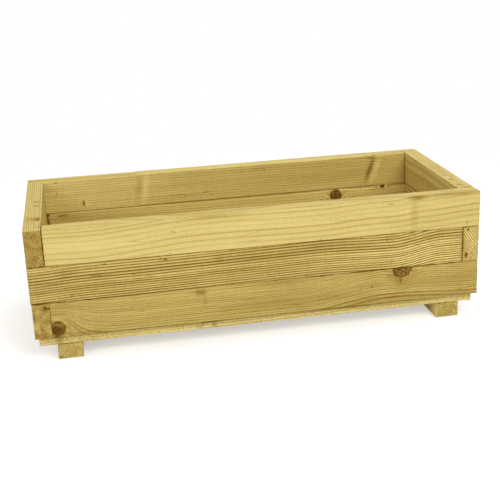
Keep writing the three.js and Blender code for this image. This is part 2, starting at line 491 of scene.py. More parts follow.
    def vary(
        self, g: Graph, place: Socket, colour: Socket, streak: Socket, fibre: Socket
    ) -> Socket:
        """Lets the tone of a long face wander.

        Args:
            g: The material.
            place: The place in the board.
            colour: The colour of the rings.
            streak: Noise that follows the fibres.
            fibre: Finer noise, likewise.

        Returns:
            The varied colour.
        """
        broad = g.noise(g.scaled(place, (240, 16, 16), self.seed + 11), 2)
        cloud = g.noise(g.scaled(place, (60, 26, 26), self.seed + 17), 3)
        length = 5.5 - 3.3 * self.fuzz  # a planed face shows long grain, a sawn one short
        grain = g.noise(g.scaled(place, (length, 1.7, 1.7), self.seed + 19), 2, 0.6)
        chatter = g.noise(g.scaled(place, (2.3, 26, 26), self.seed + 59), 1)
        for pattern, *tones in (
            (broad, 0.88, 1.10),
            (cloud, 0.92, 1.07),
            (streak, 0.86, 1.12),
            (fibre, 0.91, 1.08),
            (grain, 0.87, 1.11),
            (chatter, 0.955, 1.045),
        ):
            colour = g.tinted(self.variety, colour, pattern, tones, (0.28, 0.72))
        olive = g.curve(cloud, [(0.45, 0.0), (0.75, 0.35)])
        return g.blend("MULTIPLY", olive, colour, self.olive)

    def end_grain(self, g: Graph, place: Socket, blotch: Socket) -> Socket:
        """Gives the colour of a sawn end.

        Args:
            g: The material.
            place: The place in the board.
            blotch: Noise of a few millimetres.

        Returns:
            The colour.
        """
        year = g.math("FRACT", g.attribute("ring"))
        profile = [(0.0, 0.1), (0.25, 0.0), (0.6, 0.75), (0.78, 1.0), (0.92, 0.9), (1.0, 0.1)]
        late = g.curve(year, profile)
        colour = g.mix(late, self.end_pale, self.end_dark)
        stain = g.noise(g.scaled(place, (12, 13, 13), self.seed + 53), 1, 0.5)
        dots = g.noise(g.scaled(place, (9, 2.2, 2.2), self.seed + 41), 2, 0.6)
        for pattern, *tones in (
            (stain, 1 - 0.4 * self.mottle, 1 + 0.3 * self.mottle),
            (blotch, 1 - 0.2 * self.mottle, 1 + 0.15 * self.mottle),
            (dots, 0.68, 1.28),
        ):
            colour = g.tinted(1.0, colour, pattern, tones, (0.3, 0.7))
        return colour

    def pitted(self, g: Graph, place: Socket, colour: Socket) -> tuple[Socket, Socket]:
        """Scatters dark pits and hair cracks.

        Args:
            g: The material.
            place: The place in the board.
            colour: The colour so far.

        Returns:
            The colour with pits, and how deep they are from 0 to 1.
        """
        # Short flecks, a few round spots, and cracks where the noise crosses its middle.
        pores = g.noise(g.scaled(place, (4.5, 1.0, 1.0), self.seed + 23), 2, 0.7)
        low = 0.26 + 0.10 * self.speckle
        fleck = g.curve(pores, [(low, 1.0), (low + 0.05, 0.0)])
        fleck = g.math("MULTIPLY", fleck, 0.25 + 0.5 * self.speckle)
        spot = g.cells(g.scaled(place, (30, 13, 13), self.seed + 31))
        spot = g.curve(spot, [(0.035, self.spots), (0.065, 0.0)])
        drift = g.noise(g.scaled(place, (150, 7, 7), self.seed + 37), 1)
        where = g.noise(g.scaled(place, (60, 20, 20), self.seed + 43), 1)
        drift = g.math("ABSOLUTE", g.math("SUBTRACT", drift, 0.5))
        crack = g.curve(drift, [(0.003, 0.8), (0.008, 0.0)])
        crack = g.math("MULTIPLY", crack, g.curve(where, [(0.56, 0.0), (0.66, 1.0)]))
        pits = g.math("MAXIMUM", g.math("MAXIMUM", fleck, spot), crack)
        return g.mix(pits, colour, self.brown), pits

    def knotty(self, g: Graph, place: Socket, colour: Socket, knot: "Knot") -> Socket:
        """Lays a knot over the grain.

        Args:
            g: The material.
            place: The place in the board.
            colour: The colour so far.
            knot: The knot.

        Returns:
            The colour with the knot.
        """
        turned_place = g.tree.nodes.new("ShaderNodeMapping")
        middle = (knot.along, knot.across, knot.deep)
        g.feed(turned_place.inputs["Vector"], g.vector("SUBTRACT", place, middle))
        turned_place.inputs["Rotation"].default_value = (math.radians(knot.lean), 0, 0)
        size = (knot.radius * knot.stretch, knot.radius, self.endless)
        local = g.vector("DIVIDE", turned_place.outputs[0], size)
        grit = g.noise(g.scaled(place, (3.6, 3.6, 3.6), self.seed + 29), 2, 0.6)
        facing = g.vector("MULTIPLY", g.vector("NORMALIZE", local), (1.5, 1.5, 0))
        around = g.noise(g.vector("ADD", facing, (knot.along, knot.across, 0)), 2, 0.5)
        reach = g.math("MULTIPLY", g.vector("LENGTH", local, output="Value"), 0.5)
        reach = g.math("MULTIPLY", reach, g.math("MULTIPLY_ADD", grit, 0.2, 0.9))
        reach = g.math("MULTIPLY", reach, g.math("MULTIPLY_ADD", around, 0.3, 0.85))

        # Round the knot: resin on some sides, and pale wood on the others.
        halo = g.curve(reach, [(0.48, 0.85), (0.6, 0.4), (0.9, 0.0)])
        halo = g.math("MULTIPLY", halo, g.curve(around, [(0.42, 0.1), (0.6, 1.0)]))
        colour = g.mix(halo, colour, self.honey)
        gleam = g.curve(reach, [(0.5, 0.0), (0.54, 0.7), (0.6, 0.5), (0.8, 0.0)])
        gleam = g.math("MULTIPLY", gleam, g.curve(around, [(0.4, 1.0), (0.52, 0.0)]))
        colour = g.mix(gleam, colour, self.worn)
        # Inside it: its own years, with a dotted core.
        years = g.math("SINE", g.math("MULTIPLY", reach, 52.0))
        inside = g.mix(g.math("MULTIPLY_ADD", years, 0.25, 0.3), self.ring_brown, self.brown)
        shifted = g.vector("SUBTRACT", local, (*knot.core_at, 0))
        ragged = g.math("MULTIPLY_ADD", grit, 1.6, 0.2)
        core = g.math("MULTIPLY", g.vector("LENGTH", shifted, output="Value"), ragged)
        core = g.math("DIVIDE", core, 2 * knot.core)
        dotted = g.curve(grit, [(0.44, 1.0), (0.56, knot.mottle)])
        mottled = g.mix(dotted, self.ring_brown, self.heart)
        inside = g.mix(g.curve(core, [(0.44, 1.0), (0.56, 0.0)]), inside, mottled)
        colour = g.mix(g.curve(reach, [(0.47, 1.0), (0.50, 0.0)]), colour, inside)
        # Its rim: dark where the resin is.
        rim = g.curve(reach, [(0.40, 0.0), (0.44, 1.0), (0.485, 1.0), (0.53, 0.0)])
        rim = g.math("MULTIPLY", rim, g.curve(around, [(0.44, 0.0), (0.56, 1.0)]))
        return g.mix(rim, colour, self.heart)

    def marked(self, g: Graph, place: Socket, colour: Socket, growth: "Growth") -> Socket:
        """Lays the board's own smudges, pitch pockets and pale patches over it, and the painted
        shade and painted light that some marks stand for.

        Args:
            g: The material.
            place: The place in the board.
            colour: The colour so far.
            growth: The board's tree.

        Returns:
            The colour with the marks.
        """
        for mark in growth.marks:
            spot = place
            if mark.lean:
                slide = g.vector("DOT_PRODUCT", place, (0, mark.lean, 0), output="Value")
                wave = g.math("SINE", g.math("MULTIPLY", g.attribute("ring"), 2 * math.pi))
                slide = g.math("MULTIPLY_ADD", wave, mark.scallop, slide)
                spot = g.vector("SUBTRACT", place, g.vector("MULTIPLY", slide, (1, 0, 0)))
            away = g.near(spot, mark.at, mark.size, mark.ragged)
            fade = [(mark.sharp * 0.5, 1.0), (0.62, 0.0)]
            share = g.curve(g.math("MULTIPLY", away, 0.5), fade)
            if mark.wash:
                colour = g.mix(g.math("MULTIPLY", share, mark.wash), colour, self.pale)
            share = g.math("MULTIPLY", share, abs(mark.shade))
            if mark.shade > 0:
                colour = g.mix(share, colour, self.brown)
            else:
                colour = g.blend("MULTIPLY", share, colour, self.bleached_and_lit)
        return colour

    def edged(self, g: Graph, place: Socket, colour: Socket, blotch: Socket) -> Socket:
        """Darkens the edges with dirt and painted seam shade, and wears them pale here and there.

        Args:
            g: The material.
            place: The place in the board.
            colour: The colour so far.
            blotch: Noise of a few millimetres.

        Returns:
            The colour with its edges.
        """
        edge = g.attribute("edge")
        patchy = g.noise(g.scaled(place, (34, 14, 14), self.seed + 47), 3, 0.6)
        ragged = g.math("MULTIPLY_ADD", blotch, 0.5, g.math("SUBTRACT", edge, 0.22))
        # Dirt and painted shade: the edges darken as the seams between boards do in shade.
        dirt_and_shade = g.curve(ragged, [(0.0, 1.0), (0.06, 0.75), (0.13, 0.0)])
        dirt_and_shade = g.math("MULTIPLY", dirt_and_shade, g.curve(patchy, [(0.35, 0.15), (0.6, 1.0)]))
        colour = g.mix(g.math("MULTIPLY", dirt_and_shade, self.grime_and_shade), colour, self.brown)
        bare = g.curve(edge, [(0.0, 0.8), (0.08, 0.0)])
        bare = g.math("MULTIPLY", bare, g.curve(patchy, [(0.28, 1.0), (0.45, 0.0)]))
        return g.mix(g.math("MULTIPLY", bare, 0.5), colour, self.worn)


@dataclass(frozen=True)
class PlatedSteel:
    """Yellow zinc plated steel, dulled by handling."""

    bright: Colour = linear(206, 188, 132)
    dull: Colour = linear(128, 116, 86)

    def material(self, name: str) -> bpy.types.Material:
        """Builds the finish.

        Args:
            name: The material's name.

        Returns:
            The material.
        """
        g = Graph(name)
        place = g.tree.nodes.new("ShaderNodeTexCoord").outputs["Object"]
        patches = g.noise(g.scaled(place, (0.004,) * 3, 0.0), 4, 0.6)
        fine = g.noise(g.scaled(place, (0.0005,) * 3, 5.0), 2)
        colour = g.mix(g.curve(patches, [(0.35, 0.0), (0.65, 1.0)]), self.dull, self.bright)
        g.feed(g.shader.inputs["Base Color"], colour)
        g.shader.inputs["Metallic"].default_value = 1.0
        rough = g.math("MULTIPLY_ADD", patches, -0.25, 0.58)
        g.feed(g.shader.inputs["Roughness"], g.math("MULTIPLY_ADD", fine, 0.1, rough))
        g.bump(fine, 0.03 * MM, 0.4)
        return g.material


# --- The tree in the board ------------------------------------------------------------------------


@dataclass(frozen=True)
class Knot:
    """A branch that crosses a board.

    Its middle line goes through along, across and deep, and leans from the board's thickness
    towards its width by lean degrees. Its core lies off its middle by core_at, in radii.
    """

    along: float
    across: float
    radius: float
    deep: float = 0.0
    lean: float = 0.0
    stretch: float = 1.1
    core: float = 0.5
    core_at: tuple[float, float] = (0.0, 0.0)
    mottle: float = 0.8  # how dark the paler dots of its core are
    swell: float = 3.0  # how many rings bulge round it
    lift: float = 0.0  # how far the grain climbs over it, in millimetres
    spread: float = 24.0  # how far along the board it climbs
    parting: float = 0.97  # how wholly the grain parts round it
    parted: float = 1.7  # how much longer than wide the parting is
    margin: float = 1.08  # how far outside the branch it starts, in radii

    @property
    def sideways(self) -> tuple[float, float, float]:
        """The direction square to the branch in the board's width and thickness."""
        lean = math.radians(self.lean)
        return 0.0, math.cos(lean), -math.sin(lean)

    def offsets(self, points: Rows) -> tuple[Rows, Rows]:
        """Measures how far points lie from the branch along the board, and beside it."""
        away = points - (self.along, self.across, self.deep)
        _, across, deep = self.sideways
        return away[:, 0], away[:, 1] * across + away[:, 2] * deep

    def reach(self, points: Rows) -> Rows:
        """Measures how far points lie from the branch, in its radii."""
        along, beside = self.offsets(points)
        return np.hypot(beside, along / self.stretch) / self.radius

    def part(self, points: Rows, places: Rows) -> Rows:
        """Moves places sideways, so that the grain parts round the branch.

        Args:
            points: Places in the board.
            places: The same, as already moved by other branches.

        Returns:
            The moved places, at which the grain is then read.
        """
        along, beside = self.offsets(points)
        reach = np.hypot(beside, along / self.parted) / (self.radius * self.margin)
        moved = -self.parting * beside / np.maximum(reach, 1.0) ** 2
        wide = bell(along, self.spread) * bell(beside, self.spread)
        steep = bell(along, 0.47 * self.spread) * bell(beside + self.radius, 0.64 * self.spread)
        moved -= self.lift * (0.35 * wide + 0.65 * steep)
        return places + moved[:, None] * np.array(self.sideways)


@dataclass(frozen=True)
class Mark:
    """A smudge, pocket or pale patch in a board, or painted shade or light on it: shade 1 is brown
    and -1 is pale.
    """

    at: tuple[float, float, float]
    size: tuple[float, float, float]
    shade: float = 0.5
    ragged: float = 0.3
    sharp: float = 0.3  # share of its size that has its full shade
    wash: float = 0.0  # how far it hides the years' lines
    lean: float = 0.0  # how far it runs along the board for each millimetre across it
    scallop: float = 0.0  # how far each year's line carries it along the board


def marks_of(*rows: tuple[float, ...]) -> tuple[Mark, ...]:
    """Makes marks from rows of numbers.

    Args:
        *rows: Each mark's middle in u, v and w, its half size in each, and then its shade, ragged,
            sharp, wash, lean and scallop, as far as they differ from the usual.

    Returns:
        The marks.
    """
    return tuple(Mark(row[:3], row[3:6], *row[6:]) for row in rows)


@dataclass(frozen=True)
class Bend:
    """A stretch of a board over which its grain climbs across it."""

    along: float
    length: float
    rise: float


@dataclass(frozen=True)
class Band:
    """Years of the tree that grew darker than the rest, or paler where shade is below 0."""

    at: float  # where they meet the board's best face, across it, at its low end
    width: float
    shade: float


@dataclass(frozen=True)
class Growth:
    """Where a board lay in its tree, and how the tree grew there."""

    pith: tuple[float, float] = (-60.0, 10.0)  # the tree's middle, in v and w
    spacing: float = 4.5  # from one year's ring to the next
    climb: tuple[float, float] = (0.0, 0.0)  # how far the grain strays in v and w, for each mm of u
    wave: float = 3.0  # how far the rings wander
    wave_length: float = 260.0
    unsteady: float = 1.0  # how much the years' widths differ
    seed: int = 1
    bends: tuple[Bend, ...] = ()
    knots: tuple[Knot, ...] = ()
    marks: tuple[Mark, ...] = ()
    bands: tuple[Band, ...] = ()
    lines: tuple[float, ...] = ()  # where single years meet the best face, measured as a band is
    best_face: float = 15.2  # the w of that face
    far: float = 4.0  # beyond so many radii a knot no longer tells
    more_years: int = 39  # drawn beyond the first and the last of the single years
    line_at: float = 0.8  # the share of a year at which its line is darkest

    def out_of_pith(self, across: float) -> float:
        """Gives the distance from the pith to a place across the best face."""
        return math.hypot(across - self.pith[0], self.best_face - self.pith[1])

    def age(self, points: Rows) -> Rows:
        """Gives the distance from the pith at which each point grew, in millimetres."""
        places = points
        for knot in self.knots:
            places = knot.part(points, places)
        u, v, w = places.T
        for scale, share in ((1.0, 1.0), (3.1, 0.3)):
            grain = np.array([self.wave_length, 120, 120]) / scale
            v = v + noise(points / grain, self.seed + round(scale)) * self.wave * share
        for bend in self.bends:
            v = v - bend.rise * step(u, bend.along - bend.length / 2, bend.along + bend.length / 2)
        v = v - self.pith[0] - self.climb[0] * u
        w = w - self.pith[1] - self.climb[1] * u
        return np.hypot(v, w)

    def rings(self, points: Rows, age: Rows) -> Rows:
        """Counts the years from the pith to each point, with their parts.

        Args:
            points: Places in the board.
            age: The distance from the pith at which each grew.

        Returns:
            The year of each, and the share of that year that had passed.
        """
        years = age / self.spacing
        if self.lines:
            known = sorted(self.out_of_pith(line) for line in self.lines)
            more = self.spacing * np.arange(1, self.more_years + 1)
            known = np.concatenate([known[0] - more[::-1], known, known[-1] + more])
            years = np.interp(age, known, np.arange(len(known)) + self.line_at)
        for knot in self.knots:
            years = years + knot.swell * np.exp(-0.9 * knot.reach(points))
        uneven = 0.3 * np.sin(years * 0.83 + self.seed) + 0.15 * np.sin(years * 2.1)
        return years + self.unsteady * uneven

    def tone(self, age: Rows) -> Rows:
        """Adds up the shades of the bands at distances from the pith."""
        total = np.zeros(len(age))
        for band in self.bands:
            total += band.shade * bell(age - self.out_of_pith(band.at), band.width)
        return total

    def nearest_knot(self, points: Rows) -> Rows:
        """Gives the distance to the nearest branch, in its radii, as far as it matters."""
        near = np.full(len(points), self.far)
        for knot in self.knots:
            rough = 1 + 0.1 * noise(points / (6, 5, 5), self.seed + 5)
            near = np.minimum(near, knot.reach(points) * rough)
        return near


# --- Boards ---------------------------------------------------------------------------------------


class Lay(Enum):
    """How a board lies: the directions in the row frame of its u, v and w."""

    LONG_ON_EDGE = ((1, 0, 0), (0, 0, 1), (0, -1, 0))
    SHORT_ON_EDGE = ((0, 1, 0), (0, 0, 1), (1, 0, 0))
    LONG_FLAT = ((1, 0, 0), (0, 1, 0), (0, 0, 1))
    SHORT_FLAT = ((0, 1, 0), (-1, 0, 0), (0, 0, 1))


class Cut(Enum):
    """How a board's faces were left by the mill: the ridges' depth, spacing and the fibre's."""

    PLANED = (0.02, 7.0, 0.05)
    SAWN = (0.16, 3.8, 0.12)


class Gauge(Enum):
    """A screw's shank, head and socket, across, and its thread's pitch, in millimetres."""

    STOUT = (5.0, 9.6, 4.0, 2.6)
    FINE = (4.0, 7.6, 3.2, 2.2)


@dataclass
class Hole:
    """A countersunk hole for one of the screws."""

    at: Vector  # the middle of the screw's head face
    length: float
    gauge: Gauge
    clearance: float = 0.25 * MM
    rim: float = 0.5 * MM  # straight edge above the countersink
    run_out: float = 3 * MM  # how far the cutter starts outside the board
    beyond: float = 0.8 * MM  # room past the point
    sides: int = 28

    @classmethod
    def of_screw(cls, node: str) -> "Hole":
        """Reads a screw's place and length off its solid, and its gauge off its name."""
        low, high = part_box(node)
        gauge = Gauge.FINE if node.startswith("floor_") else Gauge.STOUT
        at = Vector(((low[0] + high[0]) / 2, (low[1] + high[1]) / 2, low[2]))
        return cls(at, high[2] - low[2], gauge)

    @property
    def bore(self) -> float:
        """The hole's radius round the shank."""
        return self.gauge.value[0] / 2 * MM + self.clearance

    @property
    def mouth(self) -> float:
        """Its radius round the head."""
        return self.gauge.value[1] / 2 * MM + self.clearance

    def cutter(self) -> bpy.types.Object:
        """Makes the body that is cut away, at its place."""
        bore, mouth = self.bore, self.mouth
        profile = [
            (mouth, -self.run_out),
            (mouth, self.rim),
            (bore, self.rim + mouth - bore),
            (bore, self.length + self.beyond),
        ]
        radii, heights = (np.repeat(np.array(c)[:, None], self.sides, 1) for c in zip(*profile))
        return link("hole_cutter", turned("hole_cutter", radii, heights), self.at)

    def meets(self, low: Vector, high: Vector) -> bool:
        """Whether the screw bites into the board between these corners."""
        reach = self.mouth
        return (
            all(self.at[i] + reach > low[i] and self.at[i] - reach < high[i] for i in (0, 1))
            and self.at.z < high[2]
            and self.at.z + self.length > low[2]
        )


@dataclass
class Board:
    """One board of the planter, in place of its plain solid."""

    node: str
    lay: Lay
    growth: Growth
    finish: TimberFinish
    slot: str
    cut: Cut = Cut.PLANED
    arris: float = 0.9  # the radius of its long edges
    relief: float = 0.16  # how far the dark wood stands above the pale
    shy: tuple[float, float] = (0.0, 0.0)  # how far it stops short at its low and high end
    sink: tuple[float, float] = (0.0, 0.0)  # how far it lies in from its place, in v and w
    room: float = 0.35  # kept inside the solid's faces, for what stands out of them
    end_ease: float = 0.8  # how wide the band along the edges of its ends is broken
    edge_band: float = 8.0  # how far from an edge the finish still sees it
    grid: tuple[float, float] = (5.0, 1.45)  # spacing of the mesh along and across
    near_knot: float = 3.2  # radii of a knot within which the mesh is finer
    deepest: float = 1.2  # how far relief goes in at most
    crease: float = 50.0  # degrees from which an edge shows sharp

    @property
    def axes(self) -> Rows:
        """The board's directions, one a row."""
        return np.array(self.lay.value, float)

    def halves(self) -> Rows:
        """Half the solid's length, width and thickness, in millimetres."""
        low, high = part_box(self.node)
        return np.abs(self.axes @ (np.array(high) - np.array(low))) / 2 / MM

    def stations(self) -> tuple[Rows, Rows, Rows]:
        """Chooses the lines of the mesh along the board, across it and through it.

        Returns:
            The lines' places, closer together at the edges and near the knots.
        """
        half_u, half_v, half_w = self.halves() - self.room
        ease, arris = self.end_ease, self.arris
        long = [-half_u + self.shy[0], half_u - self.shy[1]]
        spans = [(knot.along, self.near_knot * knot.radius) for knot in self.growth.knots]
        dense = [along + side for along, reach in spans for side in (-reach, reach)]
        stops = sorted({0.0, long[0] + ease, long[1] - ease, *np.clip(dense, *long)})
        lines = [long[0]]
        for stop in [*stops, long[1]]:
            middle = (lines[-1] + stop) / 2
            fine = any(abs(middle - along) < reach for along, reach in spans)
            pitch = self.grid[1] if fine else self.grid[0]
            count = max(1, round((stop - lines[-1]) / pitch))
            if stop - lines[-1] > TINY:
                lines += list(np.linspace(lines[-1], stop, count + 1)[1:])

        def across(half: float) -> Rows:
            """Lines through the width or thickness, closer together on the rounded edges."""
            corner = half - arris * np.array([0.0, 0.35, 0.7, 1.0])
            flat = half - arris
            count = round(2 * flat / self.grid[1])
            inner = np.linspace(-flat, flat, count + 1)[1:-1]
            return np.concatenate([-corner, inner, corner[::-1]])

        return np.array(lines), across(half_v), across(half_w)

    def blank(self) -> tuple[Rows, Rows]:
        """Makes the board's closed surface with its eased edges, before holes and relief.

        Returns:
            Corners in u, v and w, and four-sided faces.
        """
        lines = self.stations()
        nu, nv, nw = (len(line) for line in lines)
        faces = []
        for axis, (na, nb) in enumerate(((nv, nw), (nu, nw), (nu, nv))):
            a, b = np.meshgrid(np.arange(na - 1), np.arange(nb - 1), indexing="ij")
            square = [(a, b), (a + 1, b), (a + 1, b + 1), (a, b + 1)]
            for end, last in ((0, False), ((nu, nv, nw)[axis] - 1, True)):
                corners = []
                for p, q in square:
                    spot = [p, q]
                    spot.insert(axis, np.full_like(p, end))
                    corners.append((spot[0] * nv + spot[1]) * nw + spot[2])
                if last == (axis == 1):
                    corners.reverse()
                faces.append(np.stack(corners, -1).reshape(-1, 4))
        keys, faces = np.unique(np.concatenate(faces), return_inverse=True)
        spots = (keys // (nv * nw), keys // nw % nv, keys % nw)
        places = np.stack([line[spot] for line, spot in zip(lines, spots)], -1)
        return self.ease(places), faces.reshape(-1, 4)

    def ease(self, places: Rows) -> Rows:
        """Rounds the long edges, and breaks the edges of the ends.

        Args:
            places: Corners of a block with sharp edges.

        Returns:
            The corners of the eased block.
        """
        _, half_v, half_w = self.halves() - self.room
        out = places.copy()
        # The long edges become quarter rounds.
        flat = np.array([half_v, half_w]) - self.arris
        over = np.abs(places[:, 1:]) - flat
        corner = (over > 0).all(1)
        shrink = over[corner].max(1) / np.linalg.norm(over[corner], axis=1)
        rounded = over[corner] * shrink[:, None]
        out[corner, 1:] = np.sign(places[corner, 1:]) * (flat + rounded)
        # The rim of each end goes in by an uneven nick, along the board and across it.
        long = places[:, 0]
        at_end = (np.abs(long - long.min()) < TINY) | (np.abs(long - long.max()) < TINY)
        side = (np.abs(np.abs(places[:, 1:]) - (half_v, half_w)) < TINY).any(1)
        rim = at_end & side
        nick = self.end_ease * (0.32 + 0.16 * noise(places / (9, 9, 9), self.growth.seed + 3))
        out[rim, 0] -= np.sign(places[rim, 0]) * nick[rim]
        toward = np.clip(over[rim] / self.arris, 0, 1) * np.sign(places[rim, 1:])
        out[rim, 1:] -= toward * nick[rim, None]
        return out

    def outward(self, places: Rows) -> tuple[Rows, Rows, Rows]:
        """Tells a board's faces and edges apart by place, also where a hole has cut them.

        Args:
            places: Corners in u, v and w.

        Returns:
            The share of each that is end, the distance to the nearest edge, and the depth under
            the nearest face.
        """
        under = self.halves() - self.room - np.abs(places)
        under[:, 0] -= np.where(places[:, 0] < 0, self.shy[0], self.shy[1])
        end = 1 - step(under[:, 0], 0.1, 0.6)
        under = np.sort(under, axis=1)
        return end, np.maximum(under[:, 1], 0), under[:, 0]

    def proud(self, places: Rows, rings: Rows, knots: Rows, end: Rows) -> Rows:
        """How far the surface stands out of the blank at each place, in millimetres.

        Args:
            places: Corners in u, v and w.
            rings: The ring at each.
            knots: The distance to the nearest branch at each, in radii.
            end: The share of end grain at each.

        Returns:
            Heights, none over the room that the blank keeps.
        """
        ridge, pitch, rough = self.cut.value
        seed = self.growth.seed
        late = 0.5 - 0.5 * np.cos(2 * math.pi * (rings - 0.38))
        height = self.relief * (late**1.6 - 0.5) * (1 - 0.45 * end)
        # The knives' ridges, then the fibres, the torn ends, the board's warp, and the knots.
        u = places[:, 0] + 0.06 * places[:, 1] + 1.5 * noise(places / (60, 30, 30), seed + 20)
        height += ridge * np.sin(2 * math.pi * u / pitch) * (1 - end)
        height += rough * noise(places / (14, 1.8, 1.8), seed + 21)
        height += rough * 1.6 * end * noise(places / (50, 2.2, 3.4), seed + 22)
        height += 0.12 * noise(places / (90, 30, 30), seed + 23)
        height += 0.22 * bell(knots, 0.85) - 0.30 * bell(knots - 1.05, 0.22)
        return np.clip(height, -self.deepest, self.room * 0.95)

    def dented(self, places: Rows, edge: Rows) -> Rows:
        """How far knocks have pushed in the long edges at each place, in millimetres."""
        seed = self.growth.seed + 30
        knocks = step(noise(places / (11, 5, 5), seed), 0.35, 0.9)
        soft = 0.25 + 0.25 * noise(places / (45, 9, 9), seed + 1)
        return bell(edge, 1.3) * (soft + 0.7 * knocks)

    def note_wood(self, mesh: bpy.types.Mesh) -> None:
        """Reads the tree at every corner, shapes the surface by it and writes it on the mesh.

        Args:
            mesh: The board with its holes, in the row frame's directions from its middle.
        """
        count = len(mesh.vertices)
        flat = np.empty(count * 3, np.float32)
        mesh.vertices.foreach_get("co", flat)
        places = flat.reshape(-1, 3).astype(float) / MM @ self.axes.T
        mesh.vertex_normals.foreach_get("vector", flat)
        normals = flat.reshape(-1, 3).astype(float) @ self.axes.T
        end, edge, depth = self.outward(places)
        age = self.growth.age(places)
        rings = self.growth.rings(places, age)
        knots = self.growth.nearest_knot(places)
        open_face = depth < 0.9 * self.arris
        in_hole = (depth > 0.05) & (edge > self.arris + 0.3)
        height = self.proud(places, rings, knots, end) - self.dented(places, edge)
        height = np.where(open_face & ~in_hole, height, 0.0)
        moved = (places + normals * height[:, None]) @ self.axes * MM
        mesh.vertices.foreach_set("co", moved.astype(np.float32).ravel())
        written = {
            "ring": rings,
            "end": end,
            "edge": np.minimum(edge / self.edge_band, 1),
            "tone": self.growth.tone(age),
        }
        for name, values in written.items():
            made = mesh.attributes.new(name, "FLOAT", "POINT")
            made.data.foreach_set("value", values.astype(np.float32))
        made = mesh.attributes.new("grain", "FLOAT_VECTOR", "POINT")
        made.data.foreach_set("vector", places.astype(np.float32).ravel())

    def drilled(self, obj: bpy.types.Object, holes: Sequence[Hole]) -> bpy.types.Mesh:
        """Cuts the screws' holes.

        Args:
            obj: The board's blank.
            holes: Every hole in the planter.

        Returns:
            The board's mesh with the holes that meet it.
        """
        low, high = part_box(self.node)
        for hole in (hole for hole in holes if hole.meets(low, high)):
            cutter = hole.cutter()
            cut = obj.modifiers.new("hole", "BOOLEAN")
            cut.solver, cut.operation, cut.object = "MANIFOLD", "DIFFERENCE", cutter
            view = bpy.context.evaluated_depsgraph_get()
            view.update()
            blank, obj.data = obj.data, bpy.data.meshes.new_from_object(obj.evaluated_get(view))
            obj.modifiers.clear()
            bpy.data.meshes.remove(blank)
            bpy.data.meshes.remove(cutter.data)
        return obj.data

    def build(self, holes: Sequence[Hole]) -> bpy.types.Object:
        """Makes the board, dresses it and puts it in its solid's place.

        Args:
            holes: Every hole in the planter.

        Returns:
            The board.
        """
        low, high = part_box(self.node)
        places, faces = self.blank()
        name = f"{self.node}_timber"
        sink = self.axes.T @ np.array([0.0, *self.sink]) * MM
        middle = (Vector(low) + Vector(high)) / 2 + Vector(sink)
        obj = link(name, mesh_of(name, places @ self.axes * MM, [faces]), middle)
        bpy.context.view_layer.update()
        mesh = self.drilled(obj, holes)
        mesh.name = name
        self.note_wood(mesh)
        mesh.materials.clear()
        mesh.materials.append(self.finish.material(name, self.growth))
        mesh.shade_smooth()
        mesh.set_sharp_from_angle(angle=math.radians(self.crease))
        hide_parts(self.node)
        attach(obj, "root")
        log.info("%s: %d corners", name, len(mesh.vertices))
        return obj


# --- Sub-assemblies -------------------------------------------------------------------------------


